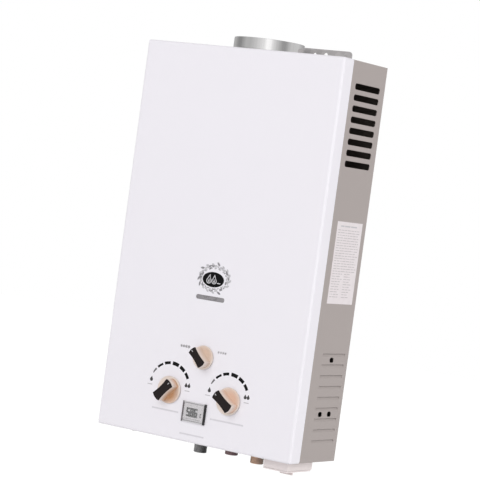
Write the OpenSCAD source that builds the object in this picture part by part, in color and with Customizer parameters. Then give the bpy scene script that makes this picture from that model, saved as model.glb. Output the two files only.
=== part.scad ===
// Wall-hung gas water heater with a flue collar, three pipe stubs and a battery box.
// Inside the modules: x from the middle, y back from the front face, z up from the casing bottom.

/* [Casing] */
// Width of the front cover
body_w = 360; // [340:1:420]
// Height of the front cover
body_h = 610; // [600:1:700]
// Depth from the front face to the back panel
body_d = 132; // [128:1:160]
// Depth of the white front cover
cover_d = 27; // [18:1:30]
// Sheet thickness
sheet = 0.8; // [0.6:0.1:1.4]
// Rounding of the front cover's edges
edge_r = 4; // [2:0.5:6]
// Distance from the back panel to the wall
wall_gap = 7; // [6:0.5:12]

/* [Wall bracket] */
// Half the distance between the two screw holes
screw_x = 63; // [58:1:100]
// Height of the screw holes above the casing bottom
screw_z = 621; // [618:1:630]
// Screw hole diameter
screw_d = 7; // [5:0.5:9]

/* [Flue] */
// Outside diameter of the flue collar
flue_d = 110; // [90:1:110]
// Collar height above the casing top
flue_h = 18.5; // [12:0.5:40]
// Depth of the collar's middle
flue_y = 70; // [68:1:74]

/* [Vents] */
// Upper vent slots on each side
vent_count = 8; // [4:1:9]
// Vent slot height
vent_h = 9.5; // [4:0.5:12]
// Vent slot pitch
vent_pitch = 16.66; // [14:0.1:18]
// Louvres on each side
louvre_count = 9; // [5:1:9]
// Louvre pitch
louvre_pitch = 16.54; // [14:0.1:17]

/* [Knobs] */
// Diameter of the two lower knobs
knob_d = 42.5; // [36:0.5:48]
// Diameter of the season knob
season_d = 37; // [30:0.5:42]
// Half the distance between the lower knobs
knob_x = 55; // [52:0.5:58]
// Sideways offset of the lower knobs from the middle
knob_shift = 3.5; // [2:0.5:6]
// Height of the lower knobs
knob_z = 74.5; // [72:0.5:78]
// Height of the season knob
season_z = 133; // [130:0.5:135]
// How far the grips stand out
grip_h = 20.5; // [16:0.5:24]
// Gas knob angle, clockwise from straight up
gas_angle = 42; // [-79:1:79]
// Water knob angle, clockwise from straight up
water_angle = -54; // [-79:1:79]
// Season knob angle, clockwise from straight up
season_angle = -45; // [-45:1:45]

/* [Connections] */
// Outside diameter of the G1/2 stubs
stub_d = 20.955; // [16:0.005:22]
// Bore of the stubs
stub_bore = 15; // [12:0.5:16]
// Water pipe diameter
pipe_d = 12; // [10:0.5:12]

/* [Burner] */
// Burner bars
bar_count = 11; // [7:1:11]
// Exchanger fins
fin_count = 26; // [12:1:30]

/* [Hidden] */
$fn = 48;
side_x = body_w / 2 - sheet - 0.1;
plate_x = side_x - sheet - 0.1;
plate_b = sheet + 0.1;
plate_t = body_h - sheet - 0.1;
back_in = body_d - sheet;
chassis_y = 12;
flue_r = flue_d / 2;
pipe_r = pipe_d / 2;
bend_r = 8;
gas_x = knob_shift - knob_x;
water_x = knob_shift + knob_x;
season_x = knob_shift - 0.7;
cap_h = 1.6;
lower_bar = [knob_d / 2 - 3.1, 16.8, 13.4];
season_bar = [season_d / 2 - 2.6, 15, 11.9];
vent_y = 79.6;
vent_z = 571;
vent_l = 75.6;
louvre_y0 = 54.6;
louvre_y1 = 121;
louvre_z = 167;
louvre_h = 4.2;
side_holes = [[82.5, 157.2], [69.8, 74.2], [96.7, 74.2]];
window_z = 224;
lcd_x0 = -19.6;
lcd_x1 = 16.4;
lcd_z0 = 34;
lcd_z1 = 60;
bezel_x0 = -21.8;
bezel_x1 = 20.7;
bezel_z0 = 31.2;
bezel_z1 = 62.8;
case_screw_x = 120;
case_screw_y = 19;
bracket_x = 110;
bracket_t = 1.5;
bracket_screw_x = 85;
bracket_screw_z = [568, 590];
keyhole_x = 43;
keyhole_z = 607;
keyhole_top = 620.5;
keyhole_r = 6;
keyhole_neck = 2.75;
gas_at = [-36.2, 85];
hot_at = [19, 90];
cold_at = [79.4, 70];
gas_low = -23.4;
hot_low = -17.4;
cold_low = -19.4;
rod_y = 80;
rod_z = 78;
coil_y = 55;
pivot_x = -19;
pivot_z = 89.1;
spindle_r = 4;
plug_r = 9;
season_plug_r = 6;
running = 0.05;
jacket_x = 105;
jacket_y0 = flue_y - 40;
jacket_y1 = flue_y + 40;
jacket_z0 = 234;
jacket_z1 = 450;
tube_z = 415;
tube_pitch = 14;
tube_end = 116;
tube_out = -124;
hot_x = -133;
riser_at = [88, 70];
neck_z = 594;
loop_x = jacket_x + 8.5;
loop_y0 = jacket_y0 - 8.5;
loop_y1 = jacket_y1 + 8.5;
loop_z = 262;
bar_pitch = 18;
jet_z = 177;
feed_y = 20.5;
spark_x = 48;
spark_z = 221;
tray_x = 103;
tray_y0 = 32;
tray_y1 = 108;
tray_z = 160;
box_x0 = 117.5;
box_x1 = 160;
box_y0 = 28;
box_y1 = 100.4;
box_low = -15;
door_low = -17.5;
hinge_y = box_y1 - 2;
hinge_z = -15.6;
cell_d = 34.2;
cell_h = 61.5;

// Place of a burner bar across the tray.
function bar_x(i) = (i - (bar_count - 1) / 2) * bar_pitch;

// Moves a piece to the row frame: the middle of the two wall screw holes, on the wall.
module place() {
    translate([0, -body_d - wall_gap, -screw_z]) children();
}

// Flat rounded rectangle about its middle.
module round_rect(w, h, r) {
    square([w - 2 * r, h], center = true);
    square([w, h - 2 * r], center = true);
    for (sx = [-1, 1], sy = [-1, 1])
        translate([sx * (w / 2 - r), sy * (h / 2 - r)]) circle(r);
}

// Flat strip from y = 0 to y = d with its two front corners rounded.
module front_round(w, d, r) {
    translate([-w / 2 + r, 0]) square([w - 2 * r, d]);
    translate([-w / 2, r]) square([w, d - r]);
    for (sx = [-1, 1]) translate([sx * (w / 2 - r), r]) circle(r);
}

// Block of the front cover's outline with every front edge rounded, standing on z = 0.
module pan(w, h, d, r) {
    intersection() {
        translate([0, d, h / 2]) rotate([90, 0, 0]) linear_extrude(d) round_rect(w, h, r);
        linear_extrude(h) front_round(w, d, r);
        translate([-w / 2, 0, h / 2]) rotate([90, 0, 90]) linear_extrude(w)
            rotate(-90) front_round(h, d, r);
    }
}

// Puts a flat shape on the front, drawn x right and y up, standing out from y = -from by t.
module on_front(x, z, from, t) {
    translate([x, -from, z]) rotate([90, 0, 0]) linear_extrude(t) children();
}

// Hollow straight length from point a to point b.
module straight(a, b, r, wall) {
    d = (b - a) / norm(b - a);
    u = [d[1], d[2], d[0]];
    v = cross(d, u);
    multmatrix([[u[0], v[0], d[0], a[0]], [u[1], v[1], d[1], a[1]], [u[2], v[2], d[2], a[2]]])
        linear_extrude(norm(b - a)) difference() {
            circle(r);
            circle(r - wall);
        }
}

// Hollow quarter bend at corner p, coming along u and leaving along v.
module elbow(p, u, v, r, wall, bend) {
    c = p - bend * u + bend * v;
    w = cross(u, v);
    multmatrix([[-v[0], u[0], w[0], c[0]], [-v[1], u[1], w[1], c[1]], [-v[2], u[2], w[2], c[2]]])
        rotate_extrude(angle = 90) translate([bend, 0]) difference() {
            circle(r);
            circle(r - wall);
        }
}

// Hollow pipe through the points, with a quarter bend at every inner point.
module pipe(pts, r, wall, bend) {
    last = len(pts) - 1;
    for (i = [0 : last - 1]) {
        d = (pts[i + 1] - pts[i]) / norm(pts[i + 1] - pts[i]);
        a = pts[i] + (i == 0 ? 0 : bend) * d;
        b = pts[i + 1] - (i == last - 1 ? 0 : bend) * d;
        if ((b - a) * d > 0.01) straight(a, b, r, wall);
        if (i > 0) {
            u = (pts[i] - pts[i - 1]) / norm(pts[i] - pts[i - 1]);
            elbow(pts[i], u, d, r, wall, bend);
        }
    }
}

// Cylinder along x from x0 to x1.
module rod_x(x0, x1, y, z, r) {
    translate([x0, y, z]) rotate([0, 90, 0]) cylinder(r = r, h = x1 - x0);
}

// Cylinder along y from y0 to y1.
module rod_y_way(x, y0, y1, z, r) {
    translate([x, y0, z]) rotate([-90, 0, 0]) cylinder(r = r, h = y1 - y0);
}

// Box given by two corners.
module block(a, b) {
    translate(a) cube(b - a);
}

// Corner reliefs that clear the rounded inside corners of the front cover.
module corner_relief() {
    for (sx = [-1, 1], z = [0, body_h]) translate([sx * body_w / 2, 0, z])
        cube([7, 2 * cover_d + 0.8, 7], center = true);
}

module front_cover() {
    color("white") difference() {
        pan(body_w, body_h, cover_d, edge_r);
        translate([0, sheet, sheet])
            pan(body_w - 2 * sheet, body_h - 2 * sheet, cover_d + 1, edge_r - sheet);
        for (x = [gas_x, water_x]) rod_y_way(x, -1, 3, knob_z, 7);
        rod_y_way(season_x, -1, 3, season_z, 7);
        block([lcd_x0 - 0.4, -1, lcd_z0], [lcd_x1 + 0.4, 3, lcd_z1]);
        translate([0, 3, window_z]) rotate([90, 0, 0]) linear_extrude(4) round_rect(52, 7, 2.9);
        translate([0, flue_y, body_h - 4]) cylinder(r = flue_r + 3, h = 8);
        for (sx = [-1, 1]) translate([sx * case_screw_x, case_screw_y, -1]) cylinder(r = 2.2, h = 4);
    }
}

// Slots and louvre windows of the right side, as the holes to cut.
module side_cuts() {
    for (i = [0 : vent_count - 1])
        translate([side_x - 4, vent_y, vent_z - i * vent_pitch]) rotate([90, 0, 90])
            linear_extrude(8) round_rect(vent_l, vent_h, vent_h * 0.42);
    for (i = [0 : louvre_count - 1])
        block([side_x - 4, louvre_y0, louvre_z - louvre_h - i * louvre_pitch],
            [side_x + 4, louvre_y1, louvre_z - i * louvre_pitch]);
}

// Louvres of the right side, each pressed inward from its foot, closed at its ends and open along its top.
module side_tabs() {
    for (i = [0 : louvre_count - 1])
        translate([side_x, 0, louvre_z - i * louvre_pitch]) rotate([90, 0, 0]) {
            translate([0, 0, 0.2 - louvre_y1]) linear_extrude(louvre_y1 - louvre_y0 - 0.4)
                polygon([[-0.1, -louvre_h - 0.2], [-0.1, 0.2 - louvre_h], [-1.5, -0.5], [-2.2, -0.8],
                    [-0.7, -louvre_h - 0.4]]);
            for (y = [louvre_y0, louvre_y1]) translate([0, 0, -y - sheet / 2]) linear_extrude(sheet)
                polygon([[-0.15, -louvre_h - 0.3], [-0.15, 0.4], [-2.3, 0.4], [-2.3, -0.9],
                    [-0.75, -louvre_h - 0.5]]);
        }
}

module rear_chassis() {
    color("silver") {
        difference() {
            block([-side_x, chassis_y, plate_b], [side_x, body_d, plate_t]);
            block([sheet - side_x, chassis_y - 1, 0], [side_x - sheet, back_in, body_h]);
            corner_relief();
            side_cuts();
            mirror([1, 0, 0]) side_cuts();
            for (at = side_holes)
                translate([side_x - 4, at[0], at[1]]) rotate([90, 0, 90])
                    linear_extrude(8) round_rect(11.6, 7.8, 3.8);
            for (sx = [-1, 1], z = bracket_screw_z)
                rod_y_way(sx * bracket_screw_x, back_in - 1, body_d + 1, z, 2.2);
        }
        side_tabs();
        mirror([1, 0, 0]) side_tabs();
        for (sx = [-1, 1]) {
            block([sx * 60 - 12, jacket_y1 - 4, jacket_z0 - 2.2],
                [sx * 60 + 12, body_d - 0.5, jacket_z0 - 0.2]);
            block([sx * 60 - 12, jacket_y1 - 8, tray_z - 2.4], [sx * 60 + 12, body_d - 0.5, tray_z - 0.2]);
        }
    }
}

module top_plate() {
    color("silver") difference() {
        union() {
            block([-plate_x, 8, plate_t - sheet], [plate_x, back_in - 0.1, plate_t]);
            block([-plate_x, 8, plate_t - 12], [plate_x, 9.2, plate_t]);
            block([-plate_x, back_in - 1.3, plate_t - 12], [plate_x, back_in - 0.1, plate_t]);
        }
        translate([0, flue_y, plate_t - 3]) cylinder(r = flue_r + 0.4, h = 6);
        corner_relief();
    }
}

module bottom_plate() {
    color("silver") difference() {
        union() {
            block([-plate_x, 8, plate_b], [plate_x, back_in - 0.1, plate_b + sheet]);
            block([-plate_x, back_in - 1.3, plate_b], [plate_x, back_in - 0.1, 14]);
        }
        for (at = [gas_at, hot_at, cold_at])
            translate([at[0], at[1], 0]) cylinder(r = stub_d / 2 + 0.6, h = 6);
        block([box_x0 - 0.4, box_y0 - 0.4, 0], [box_x1 + 0.4, box_y1 + 0.4, 6]);
        for (sx = [-1, 1]) translate([sx * case_screw_x, case_screw_y, 0]) cylinder(r = 2.2, h = 6);
        for (i = [0 : 5]) block([-168 + i * 18, 44, 0], [-160 + i * 18, 100, 6]);
        corner_relief();
    }
}

// Bent hanger: a leg on the back panel, a step, and an upright plate against the wall.
module wall_bracket() {
    color("gray") difference() {
        union() {
            block([-bracket_x, body_d, 556], [bracket_x, body_d + bracket_t, 600]);
            block([-bracket_x, body_d, 600 - bracket_t], [bracket_x, body_d + wall_gap, 600]);
            translate([0, body_d + wall_gap, 614]) rotate([90, 0, 0]) linear_extrude(bracket_t) {
                round_rect(2 * bracket_x, 31, 6);
                translate([-bracket_x, -15.5]) square([2 * bracket_x, 8]);
            }
        }
        for (sx = [-1, 1]) {
            rod_y_way(sx * screw_x, body_d + 3, body_d + wall_gap + 2, screw_z, screw_d / 2);
            rod_y_way(sx * keyhole_x, body_d + 3, body_d + wall_gap + 2, keyhole_z, keyhole_r);
            rod_y_way(sx * keyhole_x, body_d + 3, body_d + wall_gap + 2, keyhole_top, keyhole_neck);
            block([sx * keyhole_x - keyhole_neck, body_d + 3, keyhole_z],
                [sx * keyhole_x + keyhole_neck, body_d + wall_gap + 2, keyhole_top]);
            for (z = bracket_screw_z) rod_y_way(sx * bracket_screw_x, body_d - 1, body_d + 3, z, 2.2);
        }
    }
}

module rear_bumpers() {
    color("black") for (sx = [-1, 1]) translate([sx * 145, body_d, 40]) rotate([-90, 0, 0])
        rotate_extrude() polygon([[0, 0], [12, 0], [12, wall_gap - 2], [10, wall_gap], [0, wall_gap]]);
}

// Pan-head screw, head below the origin, shank up along z.
module screw(head_r, head_h, shank_r, length) {
    difference() {
        translate([0, 0, -head_h]) cylinder(r = head_r, h = head_h);
        for (a = [0, 90]) rotate(a)
            block([-head_r * 0.6, -0.4, -head_h - 1], [head_r * 0.6, 0.4, -head_h + 0.9]);
    }
    cylinder(r = shank_r, h = length);
}

module case_screws() {
    color("gray") {
        for (sx = [-1, 1]) translate([sx * case_screw_x, case_screw_y, 0]) screw(4, 2.2, 2, 9);
        for (sx = [-1, 1], z = bracket_screw_z)
            translate([sx * bracket_screw_x, body_d + bracket_t, z]) rotate([90, 0, 0]) screw(4, 2.2, 2, 8);
    }
}

module flue_collar() {
    color("silver") translate([0, flue_y, 0]) rotate_extrude() polygon([
        [flue_r - 1, plate_t - sheet - 1.2], [flue_r + 2.7, plate_t - sheet - 1.2],
        [flue_r + 2.7, plate_t - sheet], [flue_r, plate_t - sheet], [flue_r, body_h],
        [flue_r + 2, body_h + 0.6], [flue_r + 2, body_h + 1.8], [flue_r, body_h + 2.4],
        [flue_r, body_h + flue_h], [flue_r - 1, body_h + flue_h]]);
}

// Outside of the hood, from the exchanger's outline up to the round neck.
module hood_shape(in) {
    hull() {
        block([in - 108, jacket_y0 - 2 + in, jacket_z1 + 0.2],
            [108 - in, jacket_y1 + 2 - in, jacket_z1 + 16]);
        translate([0, flue_y, neck_z - 4]) cylinder(r = flue_r - in, h = 4, $fn = 64);
    }
}

module draft_hood() {
    color("silver") {
        difference() {
            hood_shape(0);
            hood_shape(1);
            block([1 - jacket_x, jacket_y0 + 1, jacket_z1 - 1], [jacket_x - 1, jacket_y1 - 1, jacket_z1 + 3]);
            translate([0, flue_y, neck_z - 6]) cylinder(r = flue_r - 1, h = 9);
            block([-70, jacket_y0 - 9, jacket_z1 + 22], [70, jacket_y0 + 12, jacket_z1 + 40]);
        }
        translate([0, flue_y, neck_z]) linear_extrude(plate_t - sheet - 1.3 - neck_z) difference() {
            circle(flue_r);
            circle(flue_r - 1);
        }
    }
}

module exchanger_jacket() {
    color("peru") difference() {
        block([-jacket_x, jacket_y0, jacket_z0], [jacket_x, jacket_y1, jacket_z1]);
        block([1 - jacket_x, jacket_y0 + 1, jacket_z0 - 1], [jacket_x - 1, jacket_y1 - 1, jacket_z1 + 1]);
        for (i = [-2 : 2]) rod_x(-jacket_x - 2, jacket_x + 2, flue_y + i * tube_pitch, tube_z, pipe_r + 0.1);
    }
}

module exchanger_fins() {
    color("peru") for (i = [0 : fin_count - 1])
        translate([(i - (fin_count - 1) / 2) * 7.6 - 0.4, flue_y, tube_z]) rotate([90, 0, 90])
            linear_extrude(0.8) difference() {
                square([76, 58], center = true);
                for (k = [-2 : 2]) translate([k * tube_pitch, 0]) circle(pipe_r + 0.05);
            }
}

// One tube that crosses the exchanger five times.
module exchanger_tubes() {
    y = [for (i = [-2 : 2]) flue_y + i * tube_pitch];
    color("peru") pipe([[jacket_x + 0.5, y[0], tube_z], [-tube_end, y[0], tube_z],
        [-tube_end, y[1], tube_z], [tube_end, y[1], tube_z], [tube_end, y[2], tube_z],
        [-tube_end, y[2], tube_z], [-tube_end, y[3], tube_z], [tube_end, y[3], tube_z],
        [tube_end, y[4], tube_z], [tube_out, y[4], tube_z]], pipe_r, 1, tube_pitch / 2);
}

// From the water valve, once round the jacket and up into the exchanger.
module cold_pipe() {
    y = flue_y - 2 * tube_pitch;
    color("peru") pipe([[each riser_at, 109], [each riser_at, 135], [loop_x, riser_at[1], 135],
        [loop_x, riser_at[1], loop_z],
        [loop_x, loop_y1, loop_z], [-loop_x, loop_y1, loop_z], [-loop_x, loop_y0, loop_z],
        [loop_x, loop_y0, loop_z], [loop_x, y, loop_z], [loop_x, y, tube_z],
        [jacket_x + 0.5, y, tube_z]], pipe_r, 1, bend_r);
}

// From the exchanger down the left side and across the back to the hot outlet.
module hot_pipe() {
    y = flue_y + 2 * tube_pitch;
    color("peru") pipe([[tube_out, y, tube_z], [hot_x, y, tube_z], [hot_x, y, 30], [hot_x, y + 18, 30],
        [hot_at[0], y + 18, 30], [hot_at[0], hot_at[1], 30], [hot_at[0], hot_at[1], 14]], pipe_r, 1, bend_r);
}

module burner_tray() {
    color("gray") difference() {
        union() {
            difference() {
                block([-tray_x, tray_y0, tray_z], [tray_x, tray_y1, tray_z + 52]);
                block([1.2 - tray_x, tray_y0 + 1.2, tray_z - 1], [tray_x - 1.2, tray_y1 - 1.2, tray_z + 53]);
            }
            block([1 - tray_x, 38, tray_z], [tray_x - 1, 44, tray_z + 4]);
            block([1 - tray_x, 96, tray_z], [tray_x - 1, 102, tray_z + 4]);
            for (sx = [-1, 1])
                block([sx * spark_x - 8, tray_y0, 205], [sx * spark_x + 8, tray_y0 + 1.2, 228]);
        }
        for (sx = [-1, 1]) rod_y_way(sx * spark_x, 30, 36, spark_z, 4.1);
        for (i = [0 : bar_count - 1]) rod_y_way(bar_x(i), 30, 36, jet_z, 4.5);
    }
}

// Burner bars with a row of flame ports along the top of each.
module burner_bars() {
    color("gray") for (i = [0 : bar_count - 1]) translate([bar_x(i), 0, 0]) {
        difference() {
            block([-6, 36, 164.2], [6, 106, 190]);
            rod_y_way(0, 35, 98, jet_z, 4);
        }
        translate([-3.5, 0, 0]) rotate([90, 0, 90]) linear_extrude(7) difference() {
            translate([36, 190]) square([70, 18]);
            for (k = [0 : 12]) translate([39 + k * 5.2, 201]) square([1.6, 8]);
        }
    }
}

module gas_manifold() {
    color("lightgray") difference() {
        block([-101, 14, 168], [101, 27, 186]);
        block([-97, 17, 171], [97, 24, 183]);
        for (i = [0 : bar_count - 1]) rod_y_way(bar_x(i), 20, 28, jet_z, 2.05);
        for (x = [gas_x, season_x]) translate([x, feed_y, 167]) cylinder(r = 3.5, h = 6);
    }
}

module gas_jets() {
    color("gold") for (i = [0 : bar_count - 1])
        translate([bar_x(i), 27, jet_z]) rotate([-90, 0, 0]) rotate_extrude()
            polygon([[0.5, -4], [2, -4], [2, 0], [3.6, 0], [3.6, 3], [2.4, 6.4], [0.5, 6.4]]);
}

module gas_feed_pipe() {
    color("gray") pipe([[gas_x, coil_y, 112], [gas_x, coil_y, 140], [gas_x, feed_y, 140],
        [gas_x, feed_y, 168]], 7, 1, 9);
}

// Spark electrode and flame probe, each a rod in a ceramic sleeve.
module electrodes() {
    color("white") for (sx = [-1, 1]) {
        rod_y_way(sx * spark_x, 12, 44, spark_z, 4);
        rod_y_way(sx * spark_x, 28, 32, spark_z, 6);
        rod_y_way(sx * spark_x, 6, 58, spark_z, 1.2);
    }
}

module overheat_switch() {
    color("black") {
        rod_y_way(hot_x, 83, 91.8, 330, 9);
        block([hot_x - 11, 89, 326], [hot_x + 11, 91.8, 334]);
        for (sx = [-1, 1]) block([hot_x + sx * 4 - 2, 76, 329.6], [hot_x + sx * 4 + 2, 83, 330.4]);
    }
}

module igniter_box() {
    color("black") {
        translate([-158, (60 + back_in - 0.4) / 2, 40]) linear_extrude(90)
            round_rect(30, back_in - 0.4 - 60, 3);
        for (z = [36, 124]) block([-168, back_in - 2, z], [-148, back_in, z + 10]);
        for (i = [0 : 3]) block([-169 + i * 6, 56, 118], [-165 + i * 6, 60.5, 126]);
    }
}

module gas_valve_body() {
    color("lightgray") difference() {
        union() {
            block([-90, 42, 42], [-22, 100, 108]);
            rod_y_way(gas_x, 34, 42.5, knob_z, 13);
            translate([gas_x, coil_y, 107]) cylinder(r = 10, h = 5);
        }
        rod_y_way(gas_x, 33, 63, knob_z, plug_r + running);
        rod_y_way(gas_x, 60, 72, knob_z + 1, 4);
        translate([gas_x, coil_y, 80]) cylinder(r = 5, h = 34);
        rod_x(-75, -46, rod_y, rod_z, 12);
        rod_x(-47, -43, rod_y, rod_z, 6);
        rod_x(-44, -26, rod_y, rod_z, 10);
        rod_x(-27, -21, rod_y, rod_z, 2.55);
        translate([gas_at[0], gas_at[1], 41]) cylinder(r = stub_bore / 2, h = 32);
        rod_x(-91, -82, coil_y, rod_z, 4.3);
    }
}

// Hex gland that keeps a spindle in its valve.
module gland(sleeve_r, sleeve_l) {
    rotate([-90, 0, 0]) difference() {
        union() {
            translate([0, 0, -4]) cylinder(r = sleeve_r + 2.5, h = 4, $fn = 6);
            cylinder(r = sleeve_r, h = sleeve_l);
        }
        translate([0, 0, -5]) cylinder(r = spindle_r + running, h = sleeve_l + 6);
    }
}

module spindle_glands() {
    color("gold") {
        for (x = [gas_x, water_x]) translate([x, 34, knob_z]) gland(plug_r, 11);
        translate([season_x, 14, season_z]) gland(season_plug_r, 5);
    }
}

module gas_poppet() {
    color("black") {
        rod_x(-48, -46.4, rod_y, rod_z, 9);
        rod_x(-50, -48, rod_y, rod_z, 4);
    }
}

// Return spring behind the poppet: six turns of round wire.
module poppet_spring() {
    turns = 6;
    steps = 8 * turns;
    coil_r = 6;
    wire_r = 0.7;
    ring = 6;
    x0 = -48.9;
    x1 = -74.1;
    pts = [for (i = [0 : steps], k = [0 : ring - 1])
        let (a = 360 * turns * i / steps, b = 360 * k / ring, r = coil_r + wire_r * cos(b))
        [x0 + (x1 - x0) * i / steps + wire_r * sin(b), rod_y + r * cos(a), rod_z + r * sin(a)]];
    sides = [for (i = [0 : steps - 1], k = [0 : ring - 1])
        let (n = (k + 1) % ring, p = i * ring, q = p + ring)
        each [[p + k, p + n, q + n], [p + k, q + n, q + k]]];
    ends = [[for (k = [ring - 1 : -1 : 0]) k], [for (k = [0 : ring - 1]) steps * ring + k]];
    color("silver") polyhedron(points = pts, faces = concat(sides, ends));
}

// Diaphragm plate, rod and the cone that lifts the switch lever.
module push_rod() {
    color("silver") {
        rod_x(17, 19, rod_y, rod_z, 13);
        rod_x(-46.4, 17, rod_y, rod_z, 2.5);
        translate([-8, rod_y, rod_z]) rotate([0, 90, 0]) cylinder(r1 = 3, r2 = 6.6, h = 6);
        rod_x(-2, 0, rod_y, rod_z, 6.6);
    }
}

// Rubber ring clamped between the chamber halves, with a raised fold.
module diaphragm() {
    color("black") translate([19, rod_y, rod_z]) rotate([0, 90, 0]) rotate_extrude()
        polygon([[14, 0], [16, 0], [16.6, -3], [19.4, -3], [20, 0], [22, 0], [22, 1.5], [19, 1.5],
            [18.4, -1.6], [17.6, -1.6], [17, 1.5], [14, 1.5]]);
}

// Screw places round the diaphragm chamber.
module chamber_ring() {
    for (a = [30 : 60 : 330])
        translate([0, rod_y + 24.6 * cos(a), rod_z + 24.6 * sin(a)]) children();
}

module chamber_cover() {
    color("gold") difference() {
        rod_x(6, 19, rod_y, rod_z, 28);
        rod_x(9, 20, rod_y, rod_z, 20.5);
        rod_x(5, 10, rod_y, rod_z, 2.55);
        chamber_ring() rod_x(5, 20, 0, 0, 1.6);
    }
}

module chamber_screws() {
    color("silver") chamber_ring() rotate([0, 90, 0]) translate([0, 0, 6]) screw(2.6, 2, 1.5, 20);
}

module water_valve_body() {
    color("gold") difference() {
        union() {
            block([33, 45, 45], [98, 95, 105]);
            rod_x(20.6, 34, rod_y, rod_z, 28);
            rod_y_way(water_x, 34, 45.5, knob_z, 13);
            translate([each riser_at, 104]) cylinder(r = 9, h = 5);
        }
        rod_x(20, 31, rod_y, rod_z, 20.5);
        rod_x(30, 85, rod_y, rod_z, 5);
        rod_y_way(water_x, 33, 63, knob_z, plug_r + running);
        rod_y_way(water_x, 60, 78, knob_z + 1, 4);
        translate([cold_at[0], cold_at[1], 44]) cylinder(r = stub_bore / 2, h = 36);
        translate([each riser_at, rod_z]) cylinder(r = 5, h = 32);
        chamber_ring() rod_x(20, 28, 0, 0, 1.6);
    }
}

module micro_switch() {
    color("dimgray") {
        difference() {
            block([-22, 74, 94], [-4, 86, 106]);
            for (x = [-18, -8]) rod_y_way(x, 73, 87, 102, 1.4);
        }
        block([-14, 78, 92.3], [-11, 82, 94.5]);
        for (y = [74, 84]) block([-21, y, 87.6], [-17, y + 2, 95]);
        rod_y_way(pivot_x, 74, 86, pivot_z, 0.8);
        for (x = [-19, -13, -7]) block([x - 0.4, 78, 106], [x + 0.4, 82, 111]);
    }
}

// Lever with a roller that rides on the rod's cone.
module switch_lever() {
    color("silver") {
        difference() {
            union() {
                rod_y_way(pivot_x, 76.4, 83.6, pivot_z, 1.6);
                block([pivot_x + 0.8, 77, pivot_z - 0.4], [-7.2, 83, pivot_z + 0.4]);
                block([-8, 77, 83.5], [-7.2, 83, pivot_z + 0.4]);
                rod_y_way(-8, 77, 83, 83.5, 1.5);
            }
            rod_y_way(pivot_x, 75, 85, pivot_z, 0.85);
        }
    }
}

module solenoid() {
    color("dimgray") difference() {
        union() {
            rod_x(-120, -93, coil_y, rod_z, 13);
            rod_x(-93, -90, coil_y, rod_z, 15);
            rod_x(-123, -120, coil_y, rod_z, 9);
        }
        rod_x(-117, -89, coil_y, rod_z, 4.05);
    }
}

module solenoid_core() {
    color("silver") {
        rod_x(-112, -85.5, coil_y, rod_z, 4);
        rod_x(-85.5, -83, coil_y, rod_z, 3);
    }
}

module season_valve_body() {
    color("lightgray") translate([season_x, 0, 0]) difference() {
        union() {
            block([-18, 14, 117], [18, 44, 149]);
            translate([0, feed_y, 148]) cylinder(r = 6.3, h = 20);
        }
        rod_y_way(0, 13, 36, season_z, season_plug_r + running);
        translate([0, feed_y, season_z + 4]) cylinder(r = 3.5, h = 40);
    }
}

// Threaded stub: plain outside at the thread's crest, a collar under the plate, bored through.
module stub(at, low, high) {
    translate([at[0], at[1], 0]) rotate_extrude() polygon([
        [stub_bore / 2, low], [stub_d / 2 - 1, low], [stub_d / 2, low + 1],
        [stub_d / 2, -4], [stub_d / 2 + 3.5, -4], [stub_d / 2 + 3.5, plate_b], [stub_d / 2, plate_b],
        [stub_d / 2, high], [stub_bore / 2, high]]);
}

module gas_inlet() {
    color("dimgray") stub(gas_at, gas_low, 42);
}

module cold_inlet() {
    color("gold") stub(cold_at, cold_low, 45);
}

module hot_outlet() {
    color("peru") {
        stub(hot_at, hot_low, 11);
        translate([hot_at[0], hot_at[1], 11]) linear_extrude(3) difference() {
            circle(stub_d / 2);
            circle(pipe_r - 1);
        }
    }
}

// Wire-mesh cup inside the cold stub, its mesh drawn as drilled rows.
module inlet_strainer() {
    color("silver") translate([cold_at[0], cold_at[1], cold_low + 3]) difference() {
        rotate_extrude()
            polygon([[0, 14], [6, 14], [6, 1], [7.4, 1], [7.4, 0], [5.4, 0], [5.4, 13.4], [0, 13.4]]);
        for (z = [4, 7.5, 11], a = [0 : 45 : 315])
            translate([0, 0, z]) rotate([90, 0, a]) cylinder(r = 0.9, h = 8);
    }
}

module lock_nuts() {
    color("gold") for (at = [gas_at, hot_at, cold_at])
        translate([at[0], at[1], plate_b + sheet]) difference() {
            cylinder(r = 16, h = 6, $fn = 6);
            translate([0, 0, -1]) cylinder(r = stub_d / 2 + running, h = 9);
        }
}

// Places a piece drawn with x right, y up and z out of the front on a knob's axis.
module at_knob(x, z, angle) {
    translate([x, 0, z]) rotate([0, angle, 0]) rotate([90, 0, 0]) children();
}

// Flat outline of a grip bar, given as half length, end width and waist.
module bar_outline(bar) {
    half = bar[0];
    dent = (bar[1] - bar[2]) / 2;
    big = (half * half + dent * dent) / (2 * dent);
    difference() {
        intersection() {
            circle(half);
            square([bar[1], 2 * half], center = true);
        }
        for (sx = [-1, 1]) translate([sx * (bar[2] / 2 + big), 0]) circle(big, $fn = 96);
    }
}

// Dished disc with a tall grip bar across it, a socket for the spindle and two peg holes on top.
module knob_disc(r, bar) {
    difference() {
        union() {
            rotate_extrude() polygon([[0, 0.6], [r - 0.8, 0.6], [r, 1.4], [r, 2.8], [r - 0.8, 3.6],
                [r - 2, 3.6], [r - 3.4, 2.2], [0, 2.2]]);
            translate([0, 0, 1.4]) linear_extrude(grip_h - cap_h - 1.4) bar_outline(bar);
        }
        cylinder(r = spindle_r + running, h = 12);
        for (sy = [-1, 1]) translate([0, sy * (bar[0] - 6), grip_h - cap_h - 3.2]) cylinder(r = 1.55, h = 4);
    }
}

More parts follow.
